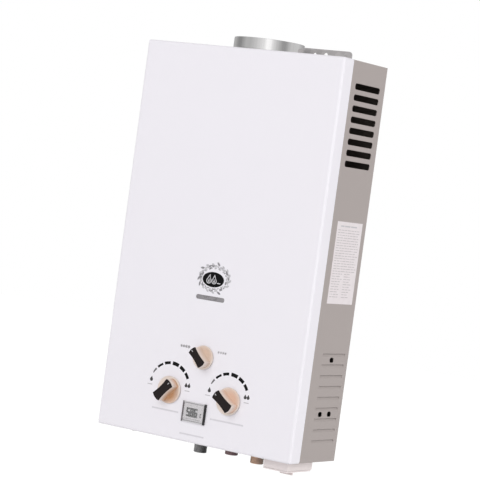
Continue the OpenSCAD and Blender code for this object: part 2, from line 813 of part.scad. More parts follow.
// Black cap of the grip bar, with two pegs and a pointer groove at its upper end.
module knob_grip(bar) {
    translate([0, 0, grip_h - cap_h]) {
        difference() {
            linear_extrude(cap_h) bar_outline(bar);
            block([-0.7, bar[0] - 5.2, cap_h - 0.6], [0.7, bar[0] + 1, cap_h + 1]);
        }
        for (sy = [-1, 1]) translate([0, sy * (bar[0] - 6), -3]) cylinder(r = 1.5, h = 3.4);
    }
}

// Spindle with its valve plug of radius r, drawn with z out of the front.
module knob_spindle(r, front, back) {
    difference() {
        union() {
            translate([0, 0, -back]) cylinder(r = spindle_r, h = back + 11.6);
            translate([0, 0, -back]) cylinder(r = r, h = back - front);
        }
        translate([-r - 1, 0, -(front + back) / 2]) rotate([0, 90, 0]) cylinder(r = 3, h = 2 * r + 2);
    }
}

module gas_knob_disc() {
    color("tan") at_knob(gas_x, knob_z, gas_angle) knob_disc(knob_d / 2, lower_bar);
}

module gas_knob_grip() {
    color("black") at_knob(gas_x, knob_z, gas_angle) knob_grip(lower_bar);
}

module gas_spindle() {
    color("gold") at_knob(gas_x, knob_z, gas_angle) knob_spindle(plug_r, 46, 62);
}

module water_knob_disc() {
    color("tan") at_knob(water_x, knob_z, water_angle) knob_disc(knob_d / 2, lower_bar);
}

module water_knob_grip() {
    color("black") at_knob(water_x, knob_z, water_angle) knob_grip(lower_bar);
}

module water_spindle() {
    color("gold") at_knob(water_x, knob_z, water_angle) knob_spindle(plug_r, 46, 62);
}

module season_knob_disc() {
    color("tan") at_knob(season_x, season_z, season_angle) knob_disc(season_d / 2, season_bar);
}

module season_knob_grip() {
    color("black") at_knob(season_x, season_z, season_angle) knob_grip(season_bar);
}

module season_spindle() {
    color("gold") at_knob(season_x, season_z, season_angle) knob_spindle(season_plug_r, 21, 35);
}

// Frame of the display, with a raised rail on each side.
module display_bezel() {
    color("black") difference() {
        union() {
            block([bezel_x0, -2.4, bezel_z0], [bezel_x1, 0, bezel_z1]);
            block([bezel_x1 - 2.9, -3, bezel_z0], [bezel_x1, 0, bezel_z1]);
            block([bezel_x0, -3, bezel_z0], [bezel_x0 + 1.4, 0, bezel_z1]);
        }
        block([lcd_x0, -3, lcd_z0], [lcd_x1, 1, lcd_z1]);
        block([lcd_x0 - 0.6, -3, lcd_z0 - 1.4], [lcd_x1 + 0.8, -1.2, lcd_z1 + 1.4]);
    }
}

module display_window() {
    color("lightgray")
        block([lcd_x0 - 0.5, -2.2, lcd_z0 - 1.3], [lcd_x1 + 0.7, -1.2, lcd_z1 + 1.3]);
}

module display_board() {
    color("green") {
        block([-28, 7, 25], [27, 8.6, 68]);
        block([lcd_x0 + 0.6, -1, lcd_z0 + 1], [lcd_x1 - 0.4, 7, lcd_z1 - 1]);
        for (x = [-24, 22]) block([x - 3, 8.6, 30], [x + 3, 14, 42]);
    }
}

module flame_window() {
    color("gray") {
        on_front(0, window_z, -1.2, 0.8) round_rect(51.6, 6.6, 2.7);
        on_front(0, window_z, -2.2, 1) round_rect(60, 15, 3);
    }
}

// Oval medallion.
module badge() {
    color("gray") {
        on_front(3, 255.2, 0, 0.4) polygon([for (a = [0 : 7.5 : 352.5]) [30 * cos(a), 23 * sin(a)]]);
        on_front(1.8, 253, 0.4, 1) polygon([for (a = [0 : 7.5 : 352.5]) [19.5 * cos(a), 11.5 * sin(a)]]);
    }
}

module rating_plate() {
    color("white") block([side_x, 44.7, 243], [side_x + 0.3, 120.5, 367.8]);
}

module battery_box() {
    x0 = box_x0;
    x1 = box_x1;
    color("white") difference() {
        union() {
            difference() {
                union() {
                    block([x0, box_y0, box_low], [x1, box_y1, 56]);
                    block([x0 - 4, box_y0 - 3, plate_b + sheet], [x1 + 4, box_y1 + 3.5, 4.5]);
                }
                block([x0 + 1.6, box_y0 + 1.6, box_low - 1], [x1 - 1.6, box_y1 - 1.6, 54]);
            }
            for (x = [x0 + 1.5, x1 - 10.5]) {
                rod_x(x, x + 9, hinge_y, hinge_z, 2);
                block([x, hinge_y - 2, hinge_z], [x + 9, box_y1, box_low + 1.6]);
            }
        }
        rod_x(x0, x1, hinge_y, hinge_z, 1.02);
        rod_x(x0 + 11, x1 - 11, hinge_y, hinge_z, 2.4);
    }
}

// Hinged lid under the cells, with a pull tab and a contact strip.
module battery_door() {
    color("white") difference() {
        union() {
            block([box_x0, box_y0, door_low], [box_x1, hinge_y - 2.6, box_low - 0.4]);
            block([box_x0 + 11.4, hinge_y - 3, door_low], [box_x1 - 11.4, hinge_y, hinge_z - 0.2]);
            rod_x(box_x0 + 11.4, box_x1 - 11.4, hinge_y, hinge_z, 2);
            block([137, 46, -22], [159, 49, door_low + 0.5]);
            for (i = [0 : 2]) rod_x(137, 159, 46, -21.2 + i * 1.5, 0.5);
            block([box_x0 + 12, box_y0 + 8, box_low - 0.5], [box_x1 - 12, box_y1 - 8, box_low + 1.5]);
        }
        rod_x(box_x0, box_x1, hinge_y, hinge_z, 1.05);
    }
}

module battery_pin() {
    color("silver") rod_x(box_x0 + 1.5, box_x1 - 1.5, hinge_y, hinge_z, 1);
}

module battery_cells() {
    color("gray") for (sy = [-1, 1])
        translate([(box_x0 + box_x1) / 2, (box_y0 + box_y1) / 2 + sy * 17.3, box_low + 2]) {
            cylinder(r = cell_d / 2, h = cell_h - 2);
            cylinder(r = 4.75, h = cell_h);
        }
}

place() front_cover();
place() rear_chassis();
place() top_plate();
place() bottom_plate();
place() wall_bracket();
place() rear_bumpers();
place() case_screws();
place() flue_collar();
place() draft_hood();
place() exchanger_jacket();
place() exchanger_fins();
place() exchanger_tubes();
place() cold_pipe();
place() hot_pipe();
place() burner_tray();
place() burner_bars();
place() gas_manifold();
place() gas_jets();
place() gas_feed_pipe();
place() electrodes();
place() overheat_switch();
place() igniter_box();
place() gas_valve_body();
place() spindle_glands();
place() gas_poppet();
place() poppet_spring();
place() push_rod();
place() diaphragm();
place() chamber_cover();
place() chamber_screws();
place() water_valve_body();
place() micro_switch();
place() switch_lever();
place() solenoid();
place() solenoid_core();
place() season_valve_body();
place() gas_inlet();
place() cold_inlet();
place() hot_outlet();
place() inlet_strainer();
place() lock_nuts();
place() gas_knob_disc();
place() gas_knob_grip();
place() gas_spindle();
place() water_knob_disc();
place() water_knob_grip();
place() water_spindle();
place() season_knob_disc();
place() season_knob_grip();
place() season_spindle();
place() display_bezel();
place() display_window();
place() display_board();
place() flame_window();
place() badge();
place() rating_plate();
place() battery_box();
place() battery_door();
place() battery_pin();
place() battery_cells();
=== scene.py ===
"""Dresses a wall-hung gas water heater: finishes, printed marks, knobs, display, threads and stage."""

import math

import bmesh
import bpy
from bpy.props import FloatProperty, FloatVectorProperty, IntProperty, PointerProperty
from mathutils import Matrix, Vector, noise


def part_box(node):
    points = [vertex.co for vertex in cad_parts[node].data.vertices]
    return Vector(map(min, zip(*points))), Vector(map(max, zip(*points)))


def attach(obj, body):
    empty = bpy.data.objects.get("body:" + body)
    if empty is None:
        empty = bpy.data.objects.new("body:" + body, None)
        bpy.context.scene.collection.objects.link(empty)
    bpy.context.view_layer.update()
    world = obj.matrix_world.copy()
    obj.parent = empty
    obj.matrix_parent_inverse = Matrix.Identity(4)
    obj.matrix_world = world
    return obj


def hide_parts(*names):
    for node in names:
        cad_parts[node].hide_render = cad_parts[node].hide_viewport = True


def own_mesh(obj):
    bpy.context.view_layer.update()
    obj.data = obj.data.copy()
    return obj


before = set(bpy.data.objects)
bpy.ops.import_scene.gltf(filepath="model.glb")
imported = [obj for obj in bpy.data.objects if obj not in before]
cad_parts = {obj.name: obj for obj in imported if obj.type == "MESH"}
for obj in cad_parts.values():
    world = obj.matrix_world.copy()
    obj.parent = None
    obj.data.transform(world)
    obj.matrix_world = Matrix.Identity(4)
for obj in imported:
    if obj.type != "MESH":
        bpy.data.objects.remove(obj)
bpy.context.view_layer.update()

bl_info = {
    "name": "Gas water heater",
    "version": (1, 0, 0),
    "blender": (4, 5, 0),
    "location": "View3D > Sidebar > Heater",
    "description": "Dresses a wall-hung gas water heater",
    "category": "Object",
}

# FRONT_Y, BASE_Z and the lengths in the settings are in metres, as Blender's are. Other sizes of pieces are
# in millimetres, and angles in degrees.
MM = 0.001
FRONT_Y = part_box("front_cover")[0][1]
BASE_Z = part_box("front_cover")[0][2]
SIDE_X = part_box("rating_plate")[1][0] / MM
MIDDLE_Z = 305.0
MIDDLE_DEPTH = 65.0
BACK_DEPTH = 131.0
PRINT = 0.06

# A bar is its half length, the width of its ends and the width of its waist.
LARGE_BAR = (18.15, 16.8, 13.4)
SMALL_BAR = (15.9, 15.0, 11.9)
# Each knob's painted shade and reflection is warmest at this offset from its axis.
KNOBS = {
    "gas": {"x": -51.5, "z": 74.5, "r": 21.25, "bar": LARGE_BAR, "turn": 42.0, "shade_offset": (2.0, -6.0)},
    "water": {"x": 58.5, "z": 74.5, "r": 21.25, "bar": LARGE_BAR, "turn": -54.0, "shade_offset": (5.0, 5.0)},
    "season": {"x": 2.8, "z": 133.0, "r": 18.5, "bar": SMALL_BAR, "turn": -45.0, "shade_offset": (4.5, 6.0)},
}
# The throat is the radius to which the bore narrows, and the height from which it does.
STUBS = {
    "gas_inlet": {"x": -36.2, "depth": 85.0, "low": -23.4, "high": 42.0, "slot": "dark_steel",
                  "finish": "stub_steel_shaded"},
    "cold_inlet": {"x": 79.4, "depth": 70.0, "low": -19.4, "high": 45.0, "slot": "brass",
                   "finish": "stub_brass_shaded"},
    "hot_outlet": {"x": 19.0, "depth": 90.0, "low": -17.4, "high": 14.0, "slot": "copper",
                   "finish": "stub_copper_shaded", "throat": (5.0, 11.0)},
}
# Finishes of the CAD nodes that no piece of the scene replaces.
FINISH_OF = {
    "white_coat": ["front_cover"],
    "grey_coat": ["rear_chassis", "top_plate", "bottom_plate"],
    "zinc_sheet": ["wall_bracket"],
    "hood_sheet_shade": ["draft_hood", "burner_tray"],
    "rubber": ["rear_bumpers", "gas_poppet", "diaphragm"],
    "plated_steel": ["case_screws", "chamber_screws", "push_rod", "switch_lever", "solenoid_core",
                     "inlet_strainer", "battery_pin"],
    "copper": ["exchanger_jacket", "exchanger_fins", "exchanger_tubes", "cold_pipe", "hot_pipe"],
    "brass": ["gas_jets", "spindle_glands", "chamber_cover", "water_valve_body", "lock_nuts",
              "gas_spindle", "water_spindle", "season_spindle"],
    "die_cast": ["gas_manifold", "gas_feed_pipe", "gas_valve_body", "season_valve_body"],
    "burner_steel": ["burner_bars"],
    "ceramic": ["electrodes"],
    "black_plastic": ["overheat_switch", "igniter_box", "micro_switch", "solenoid"],
    "rails": ["display_bezel"],
    "clear_window": ["display_window"],
    "board": ["display_board"],
    "sight_glass": ["flame_window"],
    "film": ["rating_plate"],
    "white_plastic": ["battery_box", "battery_door"],
    "cell_can": ["battery_cells"],
}


def at(x, depth, z):
    """Point from millimetres: x from the middle, depth back from the front face, z up from the base."""
    return Vector((x * MM, FRONT_Y + depth * MM, BASE_Z + z * MM))


def srgb(r, g, b):
    """Linear colour of an 8-bit screen colour."""
    return tuple((c / 255 / 12.92) if c < 11 else ((c / 255 + 0.055) / 1.055) ** 2.4 for c in (r, g, b))


class HeaterColours(bpy.types.PropertyGroup):
    """Colours of the heater's painted and moulded surfaces, and the painted shade and reflection of the knob
    dishes.
    """

    cover: FloatVectorProperty(name="Cover", description="Paint of the front cover", subtype="COLOR",
                               default=srgb(241, 238, 244))
    chassis: FloatVectorProperty(name="Chassis", description="Paint of the back and sides", subtype="COLOR",
                                 default=srgb(172, 163, 160))
    knob: FloatVectorProperty(name="Knob", description="Rim of the knobs", subtype="COLOR",
                              default=srgb(230, 217, 208))
    # The dish colours are painted shade and reflection in the middle of each knob, running out into the rim
    # colour.
    gas_dish_shade: FloatVectorProperty(name="Gas dish", description="Middle of the gas knob", subtype="COLOR",
                                  default=srgb(207, 161, 122))
    water_dish_shade: FloatVectorProperty(name="Water dish", description="Middle of the water knob",
                                    subtype="COLOR", default=srgb(228, 194, 172))
    season_dish_shade: FloatVectorProperty(name="Season dish", description="Middle of the season knob",
                                     subtype="COLOR", default=srgb(222, 198, 180))
    grip: FloatVectorProperty(name="Grip", description="Grips and black trim", subtype="COLOR",
                              default=srgb(30, 23, 23))
    battery: FloatVectorProperty(name="Battery box", description="Plastic of the battery box",
                                 subtype="COLOR", default=srgb(243, 233, 232))


class HeaterSizes(bpy.types.PropertyGroup):
    """Sizes of the printed and turned details."""

    dial_radius: FloatProperty(name="Dial radius", description="Radius of the printed dial", unit="LENGTH",
                               default=36.7 * MM)
    dash_count: IntProperty(name="Dashes", description="Dashes on each dial", default=6, min=2)
    thread_pitch: FloatProperty(name="Thread pitch", description="Pitch of the pipe thread", unit="LENGTH",
                                default=1.814 * MM)
    thread_depth: FloatProperty(name="Thread depth", description="Depth of the pipe thread", unit="LENGTH",
                                default=0.45 * MM)
    lens: FloatProperty(name="Lens", description="Focal length of the camera", unit="CAMERA", default=152.04)


# Finishes

TONE_STOPS = {2: (0.3, 0.7), 3: (0.25, 0.5, 0.75)}
EVEN = (1.0, 1.0, 1.0)
BRUSHED = (1.0, 1.0, 0.04)
INK_GRAIN = 900.0
STUB_HALF = 10.5
BEZEL_HALF = 22.0


def new_finish(name):
    """The node tree and the main shader of a new material."""
    mat = bpy.data.materials.new("finish_" + name)
    mat.use_nodes = True
    return mat.node_tree, mat.node_tree.nodes["Principled BSDF"]


def finish(name):
    """A finish that was made earlier."""
    return bpy.data.materials["finish_" + name]


def feed(node, values):
    """Links sockets into a node's inputs, and sets its other inputs to plain values."""
    for key, value in values.items():
        if isinstance(value, bpy.types.NodeSocket):
            node.id_data.links.new(value, node.inputs[key])
        else:
            node.inputs[key].default_value = value


def add(tree, kind, inputs, **settings):
    """A new node with the given inputs and settings."""
    made = tree.nodes.new(kind)
    for key, value in settings.items():
        setattr(made, key, value)
    feed(made, inputs)
    return made


def place_coords(tree, stretch=EVEN):
    """The piece's own coordinates in metres, stretched."""
    coords = add(tree, "ShaderNodeTexCoord", {})
    mapping = add(tree, "ShaderNodeMapping", {"Vector": coords.outputs["Object"], "Scale": stretch})
    return mapping.outputs["Vector"]


def grain(tree, vector, scale, detail=3.0):
    """Noise of a grain per metre."""
    made = add(tree, "ShaderNodeTexNoise",
               {"Vector": vector, "Scale": scale, "Detail": detail, "Roughness": 0.55})
    return made.outputs["Fac"]


def fine_grain(tree, vector, scale):
    """Noise for the relief of a surface."""
    return grain(tree, vector, scale, 2.0)


def ramp(tree, factor, stops):
    """Colours along a factor."""
    made = add(tree, "ShaderNodeValToRGB", {"Fac": factor})
    band = made.color_ramp
    while len(band.elements) < len(stops):
        band.elements.new(0.5)
    for element, (position, colour) in zip(band.elements, stops):
        element.position = position
        element.color = (*colour[:3], 1.0)
    return made.outputs["Color"]


def toned(tree, factor, tones):
    """Two or three tones along a grain."""
    return ramp(tree, factor, list(zip(TONE_STOPS[len(tones)], tones)))


def vector_math(tree, operation, *inputs):
    """Outputs of a step of vector arithmetic."""
    return add(tree, "ShaderNodeVectorMath", dict(enumerate(inputs)), operation=operation).outputs


def spread(tree, factor, low, high, first=0.3, last=0.7):
    """A factor mapped from first..last to low..high."""
    made = add(tree, "ShaderNodeMapRange",
               {"Value": factor, "From Min": first, "From Max": last, "To Min": low, "To Max": high})
    return made.outputs["Result"]


def along(tree, vector, axis, first, last):
    """How far a point lies from first to last along an axis."""
    split = add(tree, "ShaderNodeSeparateXYZ", {"Vector": vector})
    return spread(tree, split.outputs[axis], 0.0, 1.0, first, last)


def raise_bump(tree, shader, height, strength, distance):
    """Surface relief from a height, over a distance in millimetres."""
    made = add(tree, "ShaderNodeBump", {"Height": height, "Strength": strength, "Distance": distance * MM})
    feed(shader, {"Normal": made.outputs["Normal"]})


def fleck(tree, shader, vector, scale, rough, relief, distance):
    """Gloss and relief that follow one fine grain."""
    speck = fine_grain(tree, vector, scale)
    feed(shader, {"Roughness": spread(tree, speck, *rough)})
    raise_bump(tree, shader, speck, relief, distance)


def shade(colour, factor):
    """A colour made darker or lighter."""
    return tuple(min(1.0, c * factor) for c in colour[:3])


def grained(name, tones, scale, rough, metallic=0.0, stretch=EVEN, detail=3.0, relief=0.0, fine=0.0,
            distance=0.4, level=0.5):
    """Finish whose colour and gloss drift with a broad grain and whose relief follows a fine one."""
    tree, shader = new_finish(name)
    vector = place_coords(tree, stretch)
    broad = grain(tree, vector, scale, detail)
    feed(shader, {
        "Base Color": toned(tree, broad, tones),
        "Roughness": spread(tree, broad, *rough),
        "Metallic": metallic,
        "Specular IOR Level": level,
    })
    if relief:
        raise_bump(tree, shader, fine_grain(tree, vector, fine), relief, distance)


def shade_inner_faces(tree, outside, inner_shade):
    """The outside colour, or a painted shade where a surface faces the middle of the back panel."""
    here = add(tree, "ShaderNodeNewGeometry", {}).outputs
    away = vector_math(tree, "SUBTRACT", here["Position"], at(0.0, BACK_DEPTH, MIDDLE_Z))
    facing = vector_math(tree, "DOT_PRODUCT", away["Vector"], here["True Normal"])
    inner = add(tree, "ShaderNodeMath", {0: facing["Value"], 1: 0.0}, operation="LESS_THAN")
    mix = add(tree, "ShaderNodeMix", {"Factor": inner.outputs[0], 6: outside, 7: (*inner_shade, 1.0)},
              data_type="RGBA")
    return mix.outputs[2]


def painted(name, colour, fine, relief, rough, coat, inner_shade=None):
    """Powder coat: orange peel and faint cloudiness, with a painted shade on the inner faces if a shade
    colour is given.
    """
    tree, shader = new_finish(name)
    vector = place_coords(tree)
    cloud = grain(tree, vector, 9.0, 4.0)
    tone = toned(tree, cloud, [shade(colour, 0.997), colour])
    feed(shader, {
        "Base Color": shade_inner_faces(tree, tone, inner_shade) if inner_shade else tone,
        "Roughness": spread(tree, cloud, rough - 0.01, rough + 0.01),
        "Specular IOR Level": 0.32,
        "Coat Weight": coat,
        "Coat Roughness": 0.18,
    })
    raise_bump(tree, shader, fine_grain(tree, vector, fine), relief, 0.3)


def spangled(name, colour, rough, metallic):
    """Galvanised sheet with zinc spangles."""
    tree, shader = new_finish(name)
    vector = place_coords(tree)
    cells = add(tree, "ShaderNodeTexVoronoi", {"Vector": vector, "Scale": 140.0})
    tone = add(tree, "ShaderNodeSeparateColor", {"Color": cells.outputs["Color"]})
    feed(shader, {
        "Base Color": ramp(tree, tone.outputs["Red"], [(0.0, shade(colour, 0.82)), (1.0, colour)]),
        "Roughness": spread(tree, tone.outputs["Green"], rough, rough + 0.16, 0.0, 1.0),
        "Metallic": metallic,
    })
    raise_bump(tree, shader, fine_grain(tree, vector, 700.0), 0.12, 0.2)


def board_green(name):
    """Circuit board with faint tracks under the lacquer."""
    tree, shader = new_finish(name)
    tracks = add(tree, "ShaderNodeTexBrick", {
        "Vector": place_coords(tree),
        "Scale": 120.0,
        "Mortar Size": 0.03,
        "Color1": (*srgb(30, 88, 52), 1.0),
        "Color2": (*srgb(34, 96, 58), 1.0),
        "Mortar": (*srgb(70, 130, 84), 1.0),
    })
    feed(shader, {
        "Base Color": tracks.outputs["Color"],
        "Roughness": spread(tree, tracks.outputs["Fac"], 0.35, 0.5, 0.0, 1.0),
    })


def see_through(name, colour, cover, rough):
    """Clear pane with faint waviness that lets the light through but for a little cover."""
    tree, shader = new_finish(name)
    wave = fine_grain(tree, place_coords(tree), 60.0)
    feed(shader, {
        "Base Color": toned(tree, wave, [shade(colour, 0.96), colour]),
        "Roughness": spread(tree, wave, rough, rough + 0.05),
        "Alpha": cover,
    })


def dished(name, knob, core, rim):
    """Metallised plastic with painted shade and reflection, whose colour runs from the knob's warmest shade
    out to its rim.
    """
    tree, shader = new_finish(name)
    vector = place_coords(tree)
    shade_spot = at(knob["x"] + knob["shade_offset"][0], 0.0, knob["z"] + knob["shade_offset"][1])
    offset = vector_math(tree, "SUBTRACT", vector, shade_spot)
    flat = vector_math(tree, "MULTIPLY", offset["Vector"], (1.0, 0.0, 1.0))
    away = vector_math(tree, "LENGTH", flat["Vector"])
    reach = knob["r"] * MM
    ratio = spread(tree, away["Value"], 0.0, 1.0, 0.3 * reach, 0.95 * reach)
    feed(shader, {"Base Color": ramp(tree, ratio, [(0.0, core), (1.0, rim)]), "Metallic": 0.12})
    fleck(tree, shader, vector, 1200.0, (0.34, 0.46), 0.04, 0.2)


def stub_with_painted_shade(name, x, tones, rough, metallic):
    """Stub metal with painted shade and highlight, whose tones run from one to the next across the stub at
    x.
    """
    tree, shader = new_finish(name)
    vector = place_coords(tree)
    across = along(tree, vector, "X", (x - STUB_HALF) * MM, (x + STUB_HALF) * MM)
    stops = [(i / (len(tones) - 1), srgb(*tone)) for i, tone in enumerate(tones)]
    feed(shader, {"Base Color": ramp(tree, across, stops), "Metallic": metallic})
    fleck(tree, shader, vector, 700.0, (rough - 0.08, rough + 0.08), 0.12, 0.3)


def bar_with_painted_shade(name, low, high, near, far):
    """Metallised plastic that turns from a low colour, a painted shade, to a high one between two distances
    out of the front.
    """
    tree, shader = new_finish(name)
    vector = place_coords(tree)
    out = along(tree, vector, "Y", FRONT_Y - near * MM, FRONT_Y - far * MM)
    feed(shader, {"Base Color": ramp(tree, out, [(0.0, low), (1.0, high)]), "Metallic": 0.12})
    fleck(tree, shader, vector, 900.0, (0.32, 0.42), 0.04, 0.2)


def railed(name):
    """Bezel plastic: a dark left rail, a pale frame and a black right rail."""
    tree, shader = new_finish(name)
    vector = place_coords(tree)
    across = along(tree, vector, "X", -BEZEL_HALF * MM, BEZEL_HALF * MM)
    stops = [(0.0, srgb(112, 106, 110)), (0.04, srgb(208, 206, 209)), (0.9, srgb(10, 9, 10))]
    colour = ramp(tree, across, stops)
    colour.node.color_ramp.interpolation = "CONSTANT"
    feed(shader, {"Base Color": colour})
    fleck(tree, shader, vector, 1400.0, (0.36, 0.48), 0.1, 0.3)


def make_metals():
    """Sheet, turned and cast metals, with painted shade on the hood sheet and painted shade and highlight on
    the stubs.
    """
    spangled("zinc_sheet", srgb(204, 201, 202), rough=0.5, metallic=0.25)
    # Painted shade: the draft hood and burner tray are made dark so the case reads as shaded within.
    spangled("hood_sheet_shade", srgb(60, 57, 54), rough=0.6, metallic=0.3)
    grained("plated_steel", [srgb(150, 150, 150), srgb(188, 188, 186)], 160.0, (0.24, 0.4), 1.0,
            relief=0.08, fine=1500.0)
    grained("stainless", [srgb(246, 245, 245), srgb(254, 253, 253)], 420.0, (0.07, 0.1), 1.0,
            stretch=BRUSHED, relief=0.02, fine=900.0)
    grained("copper", [srgb(122, 66, 44), srgb(178, 104, 72), srgb(205, 132, 96)], 26.0, (0.42, 0.24), 1.0,
            detail=5.0, relief=0.1, fine=900.0, distance=0.2)
    grained("brass", [srgb(150, 116, 62), srgb(196, 160, 98)], 60.0, (0.3, 0.46), 1.0,
            relief=0.1, fine=1200.0)
    grained("die_cast", [srgb(150, 151, 153), srgb(182, 183, 184)], 40.0, (0.44, 0.6), 0.85,
            relief=0.3, fine=900.0)
    grained("burner_steel", [srgb(70, 66, 74), srgb(110, 102, 96), srgb(140, 128, 112)], 34.0, (0.4, 0.58),
            0.9, relief=0.12, fine=900.0)
    grained("cell_can", [srgb(120, 122, 126), srgb(146, 148, 152)], 60.0, (0.28, 0.4), 0.6,
            relief=0.04, fine=1200.0)
    # Painted shade and highlight across each stub, darkest towards its right edge.
    stub_with_painted_shade("stub_brass_shaded", STUBS["cold_inlet"]["x"],
              [(148, 130, 116), (188, 158, 136), (186, 156, 138), (130, 114, 104)],
              rough=0.42, metallic=0.9)
    stub_with_painted_shade("stub_copper_shaded", STUBS["hot_outlet"]["x"],
              [(166, 146, 148), (140, 118, 120), (124, 102, 106), (102, 84, 88)], rough=0.48, metallic=0.8)
    stub_with_painted_shade("stub_steel_shaded", STUBS["gas_inlet"]["x"],
              [(144, 144, 145), (138, 138, 139), (124, 124, 125), (52, 52, 54)], rough=0.32, metallic=0.85)


def make_mouldings(colours):
    """Paint, plastic, rubber, ceramic and glass, with painted shade on the chassis's inner faces and on the
    knobs.
    """
    painted("white_coat", colours.cover, fine=420.0, relief=0.06, rough=0.36, coat=0.06)
    # The chassis paint carries a painted shade on its inner faces.
    painted("grey_coat", colours.chassis, fine=650.0, relief=0.16, rough=0.46, coat=0.0,
            inner_shade=srgb(84, 78, 72))
    painted("medallion_white", colours.cover, fine=420.0, relief=0.04, rough=0.3, coat=0.25)
    grained("medallion_grey", [srgb(120, 118, 122), srgb(160, 158, 162)], 300.0, (0.4, 0.5), 0.1,
            relief=0.06, fine=1500.0)
    grained("medallion_pale", [srgb(186, 184, 188), srgb(206, 204, 208)], 300.0, (0.4, 0.5), 0.1,
            relief=0.06, fine=1500.0)
    grained("medallion_black", [srgb(6, 6, 8), srgb(12, 11, 14)], 200.0, (0.4, 0.5),
            relief=0.03, fine=1500.0, level=0.12)
    grained("rubber", [srgb(22, 22, 22), srgb(34, 33, 33)], 90.0, (0.72, 0.86),
            relief=0.3, fine=1400.0, level=0.3)
    grained("ceramic", [srgb(226, 222, 214), srgb(240, 237, 230)], 120.0, (0.2, 0.34),
            relief=0.05, fine=1500.0)
    grained("black_plastic", [shade(colours.grip, 0.85), colours.grip], 130.0, (0.44, 0.56),
            relief=0.12, fine=1600.0, level=0.2)
    grained("white_plastic", [shade(colours.battery, 0.96), colours.battery], 80.0, (0.34, 0.46),
            relief=0.1, fine=1300.0)
    grained("champagne", [shade(colours.knob, 0.97), colours.knob], 260.0, (0.3, 0.4), 0.12,
            relief=0.05, fine=1800.0)
    # Each knob's dish and bar get a painted shade and reflection that runs into the rim colour.
    for name, knob in KNOBS.items():
        core = getattr(colours, name + "_dish_shade")
        dished(name + "_dish_shade", knob, core, colours.knob)
        bar_with_painted_shade(name + "_bar", core, colours.knob, near=3.0, far=16.0)
    railed("rails")
    board_green("board")
    see_through("clear_window", (0.97, 0.97, 0.98), cover=0.1, rough=0.03)
    grained("sight_glass", [srgb(138, 135, 138), srgb(152, 149, 152)], 110.0, (0.22, 0.36), 0.2,
            relief=0.1, fine=500.0)
    grained("film", [srgb(229, 221, 223), srgb(235, 228, 230)], 90.0, (0.4, 0.52), relief=0.04, fine=700.0)
    grained("lcd", [srgb(198, 194, 197), srgb(206, 202, 205)], 140.0, (0.3, 0.4), relief=0.02, fine=2200.0)


def make_inks():
    """Printing inks, the display's figures and the painted shadows of the figures."""
    plain = {
        "worn_ink": ((52, 50, 52), (66, 63, 65)),
        "faded_ink": ((90, 87, 90), (108, 105, 108)),
        "grey_ink": ((146, 143, 146), (160, 157, 160)),
        "pale_ink": ((190, 187, 191), (200, 197, 201)),
        "faint_ink": ((212, 209, 215), (220, 217, 223)),
        "film_ink": ((186, 179, 181), (198, 191, 193)),
    }
    for name, (dark, light) in plain.items():
        grained(name, [srgb(*dark), srgb(*light)], INK_GRAIN, (0.4, 0.55))
    grained("ink", [srgb(8, 8, 9), srgb(16, 15, 16)], INK_GRAIN, (0.5, 0.6), level=0.15)
    grained("lcd_segment", [srgb(10, 9, 10), srgb(18, 17, 18)], INK_GRAIN, (0.3, 0.4), level=0.2)
    grained("lcd_faint_and_shadow", [srgb(138, 136, 139), srgb(152, 150, 153)], INK_GRAIN, (0.3, 0.4))


def dress(node, mat):
    """Gives a CAD node a finish."""
    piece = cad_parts[node]
    if not piece.material_slots:
        piece.data.materials.append(mat)
    for place in piece.material_slots:
        place.material = mat


class HEATER_OT_finishes(bpy.types.Operator):
    """Makes every finish and gives the CAD pieces theirs."""

    bl_idname = "heater.finishes"
    bl_label = "Finishes"

    def execute(self, context):
        make_metals()
        make_mouldings(context.scene.heater_colours)
        make_inks()
        for name, nodes in FINISH_OF.items():
            for node in nodes:
                dress(node, finish(name))
        return {"FINISHED"}


# Shapes


def piece_of(name, made, mats, body, smooth_angle=None):
    """A mesh piece that rides on a body, with its finishes."""
    bmesh.ops.recalc_face_normals(made, faces=made.faces)
    mesh = bpy.data.meshes.new(name)
    made.to_mesh(mesh)
    made.free()
    for mat in mats:
        mesh.materials.append(finish(mat))
    if smooth_angle is not None:
        mesh.shade_smooth()
        mesh.set_sharp_from_angle(angle=math.radians(smooth_angle))
    piece = bpy.data.objects.new(name, mesh)
    bpy.context.scene.collection.objects.link(piece)
    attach(piece, body)
    return piece


def on_front(x, z, turn=0.0):
    """Placing function for flat shapes on the cover: right, up and out, turned clockwise in degrees."""
    c, s = math.cos(math.radians(turn)), math.sin(math.radians(turn))
    return lambda u, v, h: at(x + u * c + v * s, -h, z - u * s + v * c)


def on_side(u, v, h):
    """Places a flat shape on the right side: back, up and out."""
    return at(SIDE_X + h, u, v)


def upright(x, depth):
    """Placing function for shapes about an upright axis: right, back and up."""
    return lambda u, v, h: at(x + u, depth + v, h)


def rings_of(made, levels, placed):
    """Rings of points from pairs of outline and height, placed by a function of (x, y, height)."""
    return [[made.verts.new(placed(x, y, h)) for x, y in outline] for outline, h in levels]


def join_rings(made, rings, index=0, closed=False):
    """Walls from each ring to the next, and from the last to the first if closed."""
    following = rings[1:] + rings[:1] if closed else rings[1:]
    for one, two in zip(rings, following):
        for i in range(len(one)):
            j = (i + 1) % len(one)
            made.faces.new((one[i], one[j], two[j], two[i])).material_index = index


def cap_ends(made, rings, index=0):
    """Closes the first and the last ring."""
    for ring in (rings[0], rings[-1]):
        made.faces.new(ring).material_index = index


def stack(made, levels, placed, index=0):
    """A closed block through outlines at rising heights."""
    rings = rings_of(made, levels, placed)
    join_rings(made, rings, index)
    cap_ends(made, rings, index)


def slab(made, outline, placed, low, high, index=0):
    """A plate of a flat outline between two heights."""
    stack(made, [(outline, low), (outline, high)], placed, index)


def stamp(made, outline, placed, index=0):
    """A printed mark."""
    slab(made, outline, placed, 0.0, PRINT, index)


